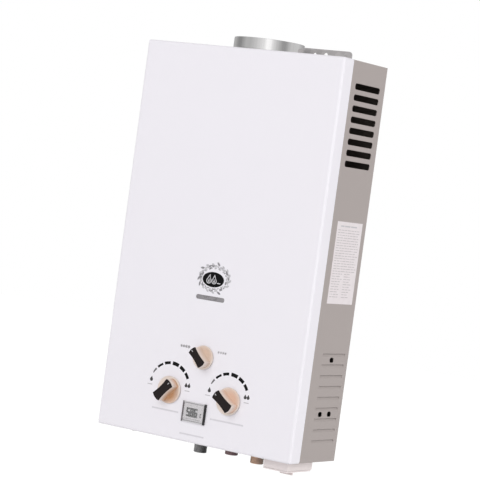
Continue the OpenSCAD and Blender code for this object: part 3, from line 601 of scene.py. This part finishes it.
def band(made, outer, inner, placed, low, high, index=0):
    """A flat ring between two outlines with the same number of points."""
    rings = rings_of(made, [(outer, low), (outer, high), (inner, high), (inner, low)], placed)
    join_rings(made, rings, index, closed=True)


def lathe(made, profile, placed, index, segments=96):
    """A shape turned about its height: profile of (radius, height), and a finish for each step of it."""
    circle = oval(1.0, 1.0, segments)
    levels = [([(r * s, r * c) for c, s in (circle if r else circle[:1])], h) for r, h in profile]
    rings = rings_of(made, levels, placed)
    for one, two, tone in zip(rings, rings[1:], index):
        for i in range(segments):
            j = (i + 1) % segments
            corners = (one[i % len(one)], one[j % len(one)], two[j % len(two)], two[i % len(two)])
            made.faces.new(list(dict.fromkeys(corners))).material_index = tone


def rectangle(x0, y0, x1, y1):
    """Corners of an upright rectangle."""
    return [(x0, y0), (x1, y0), (x1, y1), (x0, y1)]


def oval(a, b, count=64, x=0.0, y=0.0):
    """Points of an ellipse about x, y."""
    turns = [math.tau * i / count for i in range(count)]
    return [(x + a * math.cos(t), y + b * math.sin(t)) for t in turns]


def arc_dash(radius, middle, length, thick, taper=1.0, steps=8):
    """Part of a ring, its middle in degrees clockwise from up, its first end narrowed by the taper."""
    half = length / radius / 2
    outer, inner = [], []
    for i in range(steps + 1):
        a = math.radians(middle) - half + 2 * half * i / steps
        wide = thick / 2 * (taper + (1 - taper) * i / steps)
        outer.append(((radius + wide) * math.sin(a), (radius + wide) * math.cos(a)))
        inner.append(((radius - wide) * math.sin(a), (radius - wide) * math.cos(a)))
    return outer + inner[::-1]


def drop(x, y, r, tall, lean=0.0, steps=24):
    """A drop or flame outline: a round foot drawn up to a tip."""
    points = []
    for i in range(steps + 1):
        a = math.radians(-140 + 280 * i / steps)
        points.append((x + r * math.sin(a), y - r * math.cos(a)))
    side, high = r * 0.42, y + tall * 0.62
    return points + [(x + side + lean * 0.3, high), (x + lean, y + tall), (x - side + lean * 0.3, high)]


def ray(turn, inner, outer, thick):
    """A straight stroke between two distances from the middle, turned clockwise from up in degrees."""
    c, s = math.cos(math.radians(turn)), math.sin(math.radians(turn))
    half = thick / 2
    corners = ((inner, -half), (inner, half), (outer, half), (outer, -half))
    return [(r * s + w * c, r * c - w * s) for r, w in corners]


def leaf(x, y, turn, length, width, steps=8):
    """A pointed leaf from its foot at x, y, turned clockwise from up in degrees."""
    c, s = math.cos(math.radians(turn)), math.sin(math.radians(turn))
    shares = [i / steps for i in range(steps + 1)]
    side = [(width / 2 * math.sin(math.pi * t) ** 0.8, length * t) for t in shares]
    whole = side + [(-u, v) for u, v in reversed(side[1:-1])]
    return [(x + u * c + v * s, y - u * s + v * c) for u, v in whole]


def grip_outline(half, end, waist, inset=0.0, count=18):
    """Waisted bar seen from the front, its edge drawn in by an inset."""
    dent = (end - waist) / 2
    big = (half * half + dent * dent) / (2 * dent)
    tall = math.sqrt(half * half - (end / 2) ** 2)
    points = []
    for i in range(count + 1):
        y = tall * (1 - 2 * i / count)
        points.append((waist / 2 + big - math.sqrt(big * big - y * y) - inset, y))
    for i in range(1, count):
        a = math.atan2(-tall, end / 2) - (math.pi - 2 * math.atan2(tall, end / 2)) * i / count
        points.append((half * math.cos(a), half * math.sin(a)))
    whole = points + [(-x, -y) for x, y in points]
    return [(x * (1 if abs(y) < tall else (half - inset) / half), y * (1 - inset / half)) for x, y in whole]


# Prints on the cover

DIALS = {"gas": {"x": -53.3, "lean": 0.6}, "water": {"x": 55.7, "lean": 0.0}}
DIAL_Z = 79.0
DIAL_INKS = ["ink", "faded_ink", "pale_ink", "worn_ink"]
DASH, FIRST_DASH, SHORT_RULE, DROP = range(4)
# Angle from up, length and width of each dash.
DASHES = ((-56.0, 9.0, 3.2), (-35.0, 10.8, 3.4), (-13.0, 11.0, 4.5), (11.0, 12.0, 5.7), (33.5, 10.5, 5.5),
          (54.5, 10.0, 4.9))
FIRST_TAPER = 0.55
# Place, radius, height and lean of each drop from the dial's middle.
DROPS = ((-34.6, 6.0, 2.8, 5.4, 1.0), (31.0, 6.2, 2.6, 4.8, -1.0), (36.3, 6.2, 2.6, 4.8, 1.0))
SHORT_RULES = ((-41.0, -2.2, -32.0, -0.9), (29.5, -2.2, 38.5, -0.9))

SEASON_Z = 145.0
FLAKES = ((-40.4, 2.1), (-36.0, 2.3), (-31.4, 2.5), (-26.6, 2.7))
FLAKE_STROKE = 1.1
SUNS = (28.6, 32.8, 37.0, 41.2)
SUN_CORE = 1.1
SUN_RAY = (1.4, 2.2, 0.6)

LONG_RULES = ((-80.0, -30.0, 42.6), (29.0, 90.0, 42.6), (-23.0, 22.0, 12.2))
LONG_RULE_HALF = 1.2


class HEATER_OT_dial_prints(bpy.types.Operator):
    """Prints the dashed dials of the gas and water knobs, each from low to high."""

    bl_idname = "heater.dial_prints"
    bl_label = "Dial prints"

    def execute(self, context):
        sizes = context.scene.heater_sizes
        radius = sizes.dial_radius / MM
        for name, dial in DIALS.items():
            placed = on_front(dial["x"], DIAL_Z)
            made = bmesh.new()
            for i, (angle, length, width) in enumerate(DASHES[:sizes.dash_count]):
                taper, ink = (1.0, DASH) if i else (FIRST_TAPER, FIRST_DASH)
                stamp(made, arc_dash(radius, angle, length, width, taper), placed, ink)
            for x, y, r, tall, side in DROPS:
                stamp(made, drop(x, y, r, tall, side * dial["lean"]), placed, DROP)
            for corners in SHORT_RULES:
                stamp(made, rectangle(*corners), placed, SHORT_RULE)
            piece_of(name + "_dial_print", made, DIAL_INKS, "case")
        return {"FINISHED"}


class HEATER_OT_season_print(bpy.types.Operator):
    """Prints a row of snowflakes and a row of suns beside the season knob."""

    bl_idname = "heater.season_print"
    bl_label = "Season print"

    def execute(self, context):
        made = bmesh.new()
        for x, size in FLAKES:
            placed = on_front(x, SEASON_Z)
            for k in range(3):
                slab(made, ray(60 * k, -size, size, FLAKE_STROKE), placed, 0.0, PRINT + 0.005 * k)
        for x in SUNS:
            placed = on_front(x, SEASON_Z)
            stamp(made, oval(SUN_CORE, SUN_CORE, 24), placed)
            for k in range(8):
                stamp(made, ray(45 * k, *SUN_RAY), placed)
        piece_of("season_print", made, ["grey_ink"], "case")
        return {"FINISHED"}


class HEATER_OT_fine_rules(bpy.types.Operator):
    """Prints the faint rules under the knobs and the display."""

    bl_idname = "heater.fine_rules"
    bl_label = "Fine rules"

    def execute(self, context):
        made = bmesh.new()
        placed = on_front(0.0, 0.0)
        for x0, x1, z in LONG_RULES:
            stamp(made, rectangle(x0, z - LONG_RULE_HALF, x1, z + LONG_RULE_HALF), placed)
        piece_of("fine_rules", made, ["faint_ink"], "case")
        return {"FINISHED"}


# Badge

WREATH = (3.0, 255.2)
WREATH_FIELD = (29.2, 22.6)
# Half width, half height and count of each row of leaves, and the length and width of a leaf.
LEAF_ROWS = ((26.8, 20.2, 34, 6.4, 3.2), (23.8, 16.8, 32, 5.6, 2.8))
LEAF_LEANS = (-30.0, 24.0)
LEAF_SWAY, LEAF_GROWTH = 24.0, 0.4
LEAST_DRIFT, GREY_DRIFT = -0.55, 0.14
BERRY = 1.2
WREATH_OUT, BERRY_OUT, LEAF_OUT, LEAF_LIFT = 0.2, 0.38, 0.4, 0.05
MEDALLION = (1.8, 253.0)
MEDALLION_RIM = (21.4, 13.4)
MEDALLION_FIELD = (19.5, 11.5)
RIM_OUT, MEDALLION_OUT, MOTIF_OUT = 0.6, 1.2, 1.3
# Place and lean of each drop, and the foot, radius and height of its outer edge, inner edge and heart.
MOTIF_DROPS = ((-7.6, 1.6), (2.0, 0.0))
DROP_OUTER, DROP_INNER, DROP_HEART = (-2.2, 4.7, 10.4), (-2.2, 3.2, 7.2), (-3.0, 1.6, 4.4)
MOTIF_DOTS = (8.6, 10.7, 12.8)
DOT, DOT_Z = 0.8, -4.6
MEDALLION_FINISHES = ["medallion_white", "medallion_black", "medallion_grey", "medallion_pale"]
WHITE, BLACK, GREY, PALE = range(4)


def wreath(made):
    """Two loose rows of leaves with berries, round the medallion."""
    placed = on_front(*WREATH)
    slab(made, oval(*WREATH_FIELD), placed, 0.0, WREATH_OUT, WHITE)
    for row, (a, b, count, length, width) in enumerate(LEAF_ROWS):
        for i in range(count):
            turn = math.tau * (i + 0.5 * row) / count
            drift = noise.noise(Vector((i * 2.3, 1.7 + 3.0 * row, 0.4)))
            if drift < LEAST_DRIFT:
                continue
            x, y = a * math.cos(turn), b * math.sin(turn)
            tangent = 90.0 - math.degrees(math.atan2(b * math.cos(turn), -a * math.sin(turn)))
            lean = LEAF_LEANS[(i + row) % 2] + LEAF_SWAY * drift
            tone, other = (GREY, PALE) if drift > GREY_DRIFT else (PALE, GREY)
            high = LEAF_OUT + LEAF_LIFT * ((i + row) % 3)
            shape = leaf(x, y, tangent + lean, length * (1.0 + LEAF_GROWTH * drift), width)
            slab(made, shape, placed, 0.0, high, tone)
            if i % 3 == 0:
                berry = oval(BERRY, BERRY, 12, x * 0.96, y * 0.94)
                slab(made, berry, placed, WREATH_OUT, BERRY_OUT, other)


class HEATER_OT_badge(bpy.types.Operator):
    """Builds the plain oval medallion in a loose ring of leaves, with two drops in its middle."""

    bl_idname = "heater.badge"
    bl_label = "Badge"

    def execute(self, context):
        made = bmesh.new()
        wreath(made)
        placed = on_front(*MEDALLION)
        slab(made, oval(*MEDALLION_RIM), placed, 0.0, RIM_OUT, WHITE)
        slab(made, oval(*MEDALLION_FIELD), placed, RIM_OUT, MEDALLION_OUT, BLACK)
        for x, lean in MOTIF_DROPS:
            outer, inner = drop(x, *DROP_OUTER, lean), drop(x, *DROP_INNER, lean)
            band(made, outer, inner, placed, MEDALLION_OUT, MOTIF_OUT, PALE)
            slab(made, drop(x, *DROP_HEART, lean * 0.4), placed, MEDALLION_OUT, MOTIF_OUT, PALE)
        for x in MOTIF_DOTS:
            slab(made, oval(DOT, DOT, 12, x, DOT_Z), placed, MEDALLION_OUT, MOTIF_OUT, WHITE)
        piece = piece_of("badge_medallion", made, MEDALLION_FINISHES, "case", 40)
        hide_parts("badge")
        return {"FINISHED"}


# Knobs

GRIP_OUT = 20.5
CAP = 1.6
SOCKET = 4.05
POINTER_HALF, POINTER_LONG, POINTER_INSET = 0.6, 3.4, 1.6
RIM, DISH, BAR = range(3)


class HEATER_OT_knobs(bpy.types.Operator):
    """Turns the dished knobs and builds their tall waisted bars, black caps and pointers."""

    bl_idname = "heater.knobs"
    bl_label = "Knobs"

    def execute(self, context):
        seat, top = GRIP_OUT - CAP, GRIP_OUT - PRINT
        foot = ((-1.4, 2.15), (-0.7, 2.6), (-0.25, 3.4), (0.0, 4.6), (0.0, seat))
        cap = ((0.05, seat), (0.0, seat + 0.1), (0.0, top - 0.45), (0.12, top - 0.18), (0.35, top))
        for name, knob in KNOBS.items():
            body = name + "_knob"
            r = knob["r"]
            shape = knob["bar"]
            placed = on_front(knob["x"], knob["z"], knob["turn"])
            dish = [(0.0, 2.2), (r - 9.0, 2.2), (r - 6.4, 2.4), (r - 4.2, 2.85), (r - 2.6, 3.3),
                    (r - 1.4, 3.5), (r - 0.6, 3.4), (r - 0.15, 3.0), (r, 2.5)]
            back = [(r, 1.5), (r - 0.3, 0.85), (r - 0.9, 0.6), (SOCKET, 0.6), (SOCKET, 1.8), (0.0, 1.8)]
            tones = [DISH] * (len(dish) - 1) + [RIM] * len(back)
            made = bmesh.new()
            lathe(made, dish + back, on_front(knob["x"], knob["z"]), tones)
            stack(made, [(grip_outline(*shape, inset), h) for inset, h in foot], placed, BAR)
            disc = piece_of(name + "_knob_dial", made, ["champagne", name + "_dish_shade", name + "_bar"], body,
                            35)
            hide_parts(name + "_knob_disc")

            made = bmesh.new()
            stack(made, [(grip_outline(*shape, inset), h) for inset, h in cap], placed)
            grip = piece_of(name + "_grip_cap", made, ["black_plastic"], body, 30)
            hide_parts(name + "_knob_grip")

            made = bmesh.new()
            tip = shape[0] - POINTER_INSET
            mark = rectangle(-POINTER_HALF, tip - POINTER_LONG, POINTER_HALF, tip)
            slab(made, mark, placed, top - 0.4, GRIP_OUT)
            piece_of(name + "_pointer", made, ["medallion_pale"], body)
        return {"FINISHED"}


# Display

LCD = (-19.6, 34.0, 16.4, 60.0)
LCD_BACK, LCD_OUT, SHADOW_OUT, FIGURE_OUT = 1.0, 1.14, 1.16, 1.18
SHOWN = "586"
LIT = {"5": "acdfg", "8": "abcdefg", "6": "acdefg"}
FIGURE_AT = (-14.8, 40.2)
FIGURE_PITCH = 6.9
FIGURE_SIZE = (6.3, 13.4, 2.5)
# Offset of the painted shadow that each figure casts on the face.
SHADOW = (0.9, -0.7)
UNIT_MARK = ((10.6, 41.0, 11.8, 47.0), (11.8, 45.6, 13.4, 47.0), (11.8, 41.0, 13.4, 42.4))
LCD_RULE = (-17.0, 36.2, 12.0, 36.9)
LIT_TONE, FAINT_AND_SHADOW_TONE = range(2)


def segment_outlines(lit, x, y, wide, tall, thick):
    """Outlines of one seven-segment figure, its lower left corner at x, y."""
    half = tall / 2
    bars = {
        "a": (0.0, tall - thick, wide, tall), "d": (0.0, 0.0, wide, thick),
        "g": (0.0, half - thick / 2, wide, half + thick / 2),
        "f": (0.0, half, thick, tall), "b": (wide - thick, half, wide, tall),
        "e": (0.0, 0.0, thick, half), "c": (wide - thick, 0.0, wide, half),
    }
    return [[(x + u, y + v) for u, v in rectangle(*bars[key])] for key in lit]


class HEATER_OT_display(bpy.types.Operator):
    """Builds the liquid crystal face with its figures and their painted shadows behind the display window.
    """

    bl_idname = "heater.display"
    bl_label = "Display"

    def execute(self, context):
        placed = on_front(0.0, 0.0)
        made = bmesh.new()
        slab(made, rectangle(*LCD), placed, LCD_BACK, LCD_OUT)
        piece_of("display_face", made, ["lcd"], "case")
        made = bmesh.new()
        x, z = FIGURE_AT
        for k, figure in enumerate(SHOWN):
            for shape in segment_outlines(LIT[figure], x + k * FIGURE_PITCH, z, *FIGURE_SIZE):
                slab(made, shape, placed, LCD_OUT, FIGURE_OUT, LIT_TONE)
                # Painted shadow of the segment, offset on the face.
                cast = [(u + SHADOW[0], v + SHADOW[1]) for u, v in shape]
                slab(made, cast, placed, LCD_OUT, SHADOW_OUT, FAINT_AND_SHADOW_TONE)
        for corners in UNIT_MARK:
            slab(made, rectangle(*corners), placed, LCD_OUT, FIGURE_OUT, LIT_TONE)
        slab(made, rectangle(*LCD_RULE), placed, LCD_OUT, FIGURE_OUT, FAINT_AND_SHADOW_TONE)
        piece_of("display_figures", made, ["lcd_segment", "lcd_faint_and_shadow"], "case")
        return {"FINISHED"}


# Stubs, plate, collar and spring

CREST, BORE = 10.4775, 7.5
THREAD_AROUND, THREAD_STEPS = 60, 8
# The groove deepens over the lead-in from the stub's mouth, and fades over the run-out to its end.
THREAD_TOP, LEAD_IN, RUN_OUT, GROOVE_END = -5.0, 2.0, 1.2, -4.6
CHAMFER, CHAMFER_IN = 0.8, 1.2
# Height of each corner of the flange, and how far it stands out from the crest.
FLANGE = ((-4.3, 0.0), (-4.0, 0.0), (-4.0, 3.0), (-3.6, 3.5), (0.4, 3.5), (0.9, 3.2), (0.9, 0.0))
COLLAR_R, COLLAR_BORE, COLLAR_AROUND = 55.0, 54.0, 128
BEAD_Z = 610.0
PLATE_HEAD = ((56.0, 66.0), (68.0, 84.0), (86.0, 104.0))
PLATE_HEAD_Z = (360.0, 362.0)
PLATE_ROWS, WIDE_ROWS = 27, 17
FIRST_ROW_Z, ROW_PITCH = 354.5, 3.9
WIDE_COLUMNS = ((49.0, 114.0),)
NARROW_COLUMNS = ((49.0, 74.0), (84.0, 106.0))
WORD, WORD_SPACE, WORD_HIGH, LEAST_WORD = 8.0, 1.8, 1.0, 3.0
DRIFT = 9.0
WIRE = 0.7
COILS, COIL_STEPS, WIRE_SIDES = 6, 24, 12


def stub_rows(stub, pitch):
    """Height, radius and depth of thread, from 0 to 1, up the outside of a stub and into its bore."""
    low, high = stub["low"], stub["high"]
    throat, seat = stub.get("throat", (BORE, None))
    rows = [(low, BORE, 0.0), (low, CREST - CHAMFER_IN, 0.0)]
    steps = int((THREAD_TOP - low) / pitch * THREAD_STEPS)
    for i in range(steps + 1):
        z = low + CHAMFER + (THREAD_TOP - CHAMFER - low) * i / steps
        rows.append((z, CREST, min(1.0, (z - low) / LEAD_IN, (GROOVE_END - z) / RUN_OUT)))
    rows += [(z, CREST + out, 0.0) for z, out in FLANGE]
    rows += [(high, CREST, 0.0), (high, throat, 0.0)]
    if seat:
        rows += [(seat, throat, 0.0), (seat, BORE, 0.0)]
    return rows


def thread_ring(z, r, cut, pitch, depth):
    """Points round a stub at one height, drawn in where the thread's groove passes."""
    points = []
    for i in range(THREAD_AROUND):
        fall = abs(2 * ((z / pitch - i / THREAD_AROUND) % 1.0) - 1)
        here = r - depth * cut * min(1.0, fall * 1.15)
        a = math.tau * i / THREAD_AROUND
        points.append((here * math.cos(a), here * math.sin(a)))
    return points


class HEATER_OT_threads(bpy.types.Operator):
    """Cuts the pipe thread on the three stubs."""

    bl_idname = "heater.threads"
    bl_label = "Threaded stubs"

    def execute(self, context):
        sizes = context.scene.heater_sizes
        pitch = sizes.thread_pitch / MM
        depth = sizes.thread_depth / MM
        for name, stub in STUBS.items():
            levels = [(thread_ring(z, r, cut, pitch, depth), z) for z, r, cut in stub_rows(stub, pitch)]
            made = bmesh.new()
            join_rings(made, rings_of(made, levels, upright(stub["x"], stub["depth"])), closed=True)
            piece = piece_of(name + "_thread", made, [stub["finish"]], "case", 25)
            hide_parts(name)
        return {"FINISHED"}


class HEATER_OT_plate_rules(bpy.types.Operator):
    """Rules the blank information plate on the right side."""

    bl_idname = "heater.plate_rules"
    bl_label = "Plate rules"

    def execute(self, context):
        made = bmesh.new()
        low, high = PLATE_HEAD_Z
        for x0, x1 in PLATE_HEAD:
            stamp(made, rectangle(x0, low, x1, high), on_side, 1)
        for row in range(PLATE_ROWS):
            z = FIRST_ROW_Z - ROW_PITCH * row
            for start, end in WIDE_COLUMNS if row < WIDE_ROWS else NARROW_COLUMNS:
                x, word = start, 0
                end += DRIFT * noise.noise(Vector((row * 1.7, start, 0.3)))
                while x < end - LEAST_WORD:
                    drift = DRIFT * noise.noise(Vector((row * 2.3, word * 1.9, start)))
                    stop = min(end, x + WORD + drift)
                    stamp(made, rectangle(x, z, stop, z + WORD_HIGH), on_side)
                    x, word = stop + WORD_SPACE, word + 1
        piece_of("plate_rules", made, ["film_ink", "pale_ink"], "case")
        return {"FINISHED"}


class HEATER_OT_collar(bpy.types.Operator):
    """Rolls the flue collar's foot, bead and lip."""

    bl_idname = "heater.collar"
    bl_label = "Flue collar"

    def execute(self, context):
        first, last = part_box("flue_collar")
        low, high = ((corner[2] - BASE_Z) / MM for corner in (first, last))
        flange = COLLAR_R + 2.7
        foot = [(COLLAR_BORE, low), (flange, low), (flange, low + 1.2), (COLLAR_R, low + 1.2)]
        bead = [(COLLAR_R + out, BEAD_Z + up) for out, up in
                ((0.0, 0.0), (1.2, 0.3), (2.0, 0.9), (2.0, 1.5), (1.2, 2.1), (0.0, 2.4))]
        lip = [(COLLAR_R - into, high - down) for into, down in
               ((0.0, 0.9), (0.1, 0.25), (0.5, 0.0), (0.9, 0.25), (1.0, 0.9))]
        made = bmesh.new()
        levels = [(oval(r, r, COLLAR_AROUND), z) for r, z in foot + bead + lip]
        axis = upright(0.0, ((first[1] + last[1]) / 2 - FRONT_Y) / MM)
        join_rings(made, rings_of(made, levels, axis), closed=True)
        piece = piece_of("flue_collar_rolled", made, ["stainless"], "case", 35)
        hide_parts("flue_collar")
        return {"FINISHED"}


class HEATER_OT_poppet_spring(bpy.types.Operator):
    """Winds the gas poppet's return spring at its rest length; in the valve it shortens as the valve opens.
    """

    bl_idname = "heater.poppet_spring"
    bl_label = "Poppet spring"

    def execute(self, context):
        low, high = (Vector(corner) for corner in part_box("poppet_spring"))
        middle = (low + high) / 2
        axis = Vector((1.0, 0.0, 0.0))
        wire = WIRE * MM
        coil = (high.z - low.z) / 2 - wire
        section = oval(wire, wire, WIRE_SIDES)
        made = bmesh.new()
        rings = []
        for i in range(COILS * COIL_STEPS + 1):
            a = math.tau * i / COIL_STEPS
            out = Vector((0.0, math.cos(a), math.sin(a)))
            heart = middle + out * coil
            heart.x = high.x - wire - (high.x - low.x - 2 * wire) * i / (COILS * COIL_STEPS)
            rings.append([made.verts.new(heart + u * out + v * axis) for u, v in section])
        join_rings(made, rings)
        cap_ends(made, rings)
        piece = piece_of("poppet_spring_wire", made, ["plated_steel"], "case", 40)
        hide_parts("poppet_spring")
        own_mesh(piece)
        return {"FINISHED"}


# Stage: places and sizes of lights and floor are in metres

CAMERA_AT = (1731.42, -2627.09, 392.77)
CAMERA_TURNS = ((32.766, "Z"), (-1.462, "X"), (-7.710, "Y"), (90.0, "X"))
FLOOR_HALF = 15.0
FLOOR_DROP = 1.1
FLOOR_PAPER, FLOOR_DULL = (0.8, 0.8, 0.8, 1.0), (0.36, 0.36, 0.36, 1.0)
FLOOR_GLOW, FILL = 0.86, 0.58
WHITE_LIGHT = (1.0, 1.0, 1.0, 1.0)
# Name, place, size and power of each lamp.
LAMPS = (("key_light", (0.25, -3.7, 1.1), 2.4, 65.0), ("side_light", (3.2, 0.5, 0.6), 1.8, 40.0))
# Greys of the room's walls that metal mirrors, by their place round the heater.
WALLS = ((0.0, 0.27), (0.02, 0.25), (0.05, 0.26), (0.115, 0.45), (0.16, 0.43), (0.23, 0.59), (0.295, 0.76),
         (0.32, 1.0), (0.345, 1.0), (0.372, 0.74), (0.41, 0.54), (0.46, 0.32), (0.49, 0.3), (0.55, 0.54),
         (0.645, 0.57), (0.74, 0.36), (0.94, 0.43), (1.0, 0.27))


def glow_or_lit(tree, lit, shown, output):
    """Shows one shader to the camera, in mirrors and through glass, and lights with the other."""
    path = add(tree, "ShaderNodeLightPath", {}).outputs
    direct = add(tree, "ShaderNodeMath", {0: path["Is Camera Ray"], 1: path["Is Glossy Ray"]},
                 operation="MAXIMUM")
    seen = add(tree, "ShaderNodeMath", {0: direct.outputs[0], 1: path["Is Transmission Ray"]},
               operation="MAXIMUM")
    mix = add(tree, "ShaderNodeMixShader", {"Fac": seen.outputs[0], 1: lit, 2: shown})
    feed(output, {"Surface": mix.outputs[0]})


def make_floor(scene):
    """A white floor far below that looks plain white."""
    tree, paper = new_finish("floor_paper")
    feed(paper, {"Base Color": FLOOR_PAPER, "Roughness": 0.9})
    glow = add(tree, "ShaderNodeEmission", {"Strength": FLOOR_GLOW})
    dull = add(tree, "ShaderNodeBsdfDiffuse", {"Color": FLOOR_DULL})
    both = add(tree, "ShaderNodeAddShader", {0: glow.outputs[0], 1: dull.outputs[0]})
    glow_or_lit(tree, paper.outputs[0], both.outputs[0], tree.nodes["Material Output"])
    made = bmesh.new()
    bmesh.ops.create_grid(made, x_segments=2, y_segments=2, size=FLOOR_HALF)
    mesh = bpy.data.meshes.new("floor")
    made.to_mesh(mesh)
    made.free()
    mesh.materials.append(finish("floor_paper"))
    floor = bpy.data.objects.new("floor", mesh)
    floor.location = (0.0, 0.0, BASE_Z - FLOOR_DROP)
    scene.collection.objects.link(floor)


def make_room(scene):
    """White all round to the eye, soft fill light, and grey walls in mirrors."""
    world = bpy.data.worlds.new("studio")
    world.use_nodes = True
    scene.world = world
    tree = world.node_tree
    fill = tree.nodes["Background"]
    feed(fill, {"Color": WHITE_LIGHT, "Strength": FILL})
    seen = add(tree, "ShaderNodeBackground", {"Color": WHITE_LIGHT, "Strength": 1.0})
    coords = add(tree, "ShaderNodeTexCoord", {})
    around = add(tree, "ShaderNodeTexGradient", {"Vector": coords.outputs["Generated"]},
                 gradient_type="RADIAL")
    walls = ramp(tree, around.outputs["Fac"], [(place, (grey, grey, grey)) for place, grey in WALLS])
    mirrored = add(tree, "ShaderNodeBackground", {"Color": walls})
    path = add(tree, "ShaderNodeLightPath", {})
    room = add(tree, "ShaderNodeMixShader",
               {"Fac": path.outputs["Is Glossy Ray"], 1: seen.outputs[0], 2: mirrored.outputs[0]})
    glow_or_lit(tree, fill.outputs[0], room.outputs[0], tree.nodes["World Output"])


def softbox(scene, name, place, aim, size, power):
    """A square studio light that looks at a point and isn't mirrored."""
    lamp = bpy.data.lights.new(name, "AREA")
    lamp.shape = "SQUARE"
    lamp.size = size
    lamp.energy = power
    holder = bpy.data.objects.new(name, lamp)
    holder.location = place
    holder.rotation_euler = (Vector(aim) - Vector(place)).to_track_quat("-Z", "Y").to_euler()
    holder.visible_glossy = False
    scene.collection.objects.link(holder)


def make_camera(scene):
    """The photo's camera."""
    eye = bpy.data.cameras.new("photo_camera")
    eye.sensor_width = 36.0
    eye.lens = scene.heater_sizes.lens
    eye.clip_end = 100.0
    look = Matrix.Identity(3)
    for degrees, axis in CAMERA_TURNS:
        look = look @ Matrix.Rotation(math.radians(degrees), 3, axis)
    holder = bpy.data.objects.new("photo_camera", eye)
    holder.matrix_world = Matrix.Translation(at(*CAMERA_AT)) @ look.to_4x4()
    scene.collection.objects.link(holder)
    scene.camera = holder


class HEATER_OT_stage(bpy.types.Operator):
    """Sets the floor, the light and the camera."""

    bl_idname = "heater.stage"
    bl_label = "Stage"

    def execute(self, context):
        scene = context.scene
        scene.view_settings.view_transform = "Standard"
        make_floor(scene)
        make_room(scene)
        for name, place, size, power in LAMPS:
            softbox(scene, name, place, at(0.0, MIDDLE_DEPTH, MIDDLE_Z), size, power)
        make_camera(scene)
        return {"FINISHED"}


OPERATORS = (
    HEATER_OT_finishes,
    HEATER_OT_dial_prints,
    HEATER_OT_season_print,
    HEATER_OT_fine_rules,
    HEATER_OT_badge,
    HEATER_OT_knobs,
    HEATER_OT_display,
    HEATER_OT_threads,
    HEATER_OT_plate_rules,
    HEATER_OT_collar,
    HEATER_OT_poppet_spring,
    HEATER_OT_stage,
)


class HEATER_PT_sidebar(bpy.types.Panel):
    """Lists the heater's pieces, colours and sizes."""

    bl_idname = "HEATER_PT_sidebar"
    bl_label = "Gas water heater"
    bl_space_type = "VIEW_3D"
    bl_region_type = "UI"
    bl_category = "Heater"

    def draw(self, context):
        layout = self.layout
        for group in (context.scene.heater_colours, context.scene.heater_sizes):
            for key in group.bl_rna.properties.keys():
                if key not in ("rna_type", "name"):
                    layout.prop(group, key)
        for operator in OPERATORS:
            layout.operator(operator.bl_idname)


CLASSES = (HeaterColours, HeaterSizes, *OPERATORS, HEATER_PT_sidebar)


def register():
    """Registers the classes and hangs the settings on the scene."""
    for cls in CLASSES:
        bpy.utils.register_class(cls)
    bpy.types.Scene.heater_colours = PointerProperty(type=HeaterColours)
    bpy.types.Scene.heater_sizes = PointerProperty(type=HeaterSizes)


def unregister():
    """Takes the settings off the scene and unregisters the classes."""
    del bpy.types.Scene.heater_sizes
    del bpy.types.Scene.heater_colours
    for cls in reversed(CLASSES):
        bpy.utils.unregister_class(cls)


def main():
    """Dresses the heater."""
    register()
    for operator in OPERATORS:
        group, name = operator.bl_idname.split(".")
        getattr(getattr(bpy.ops, group), name)()


if __name__ == "__main__":
    main()
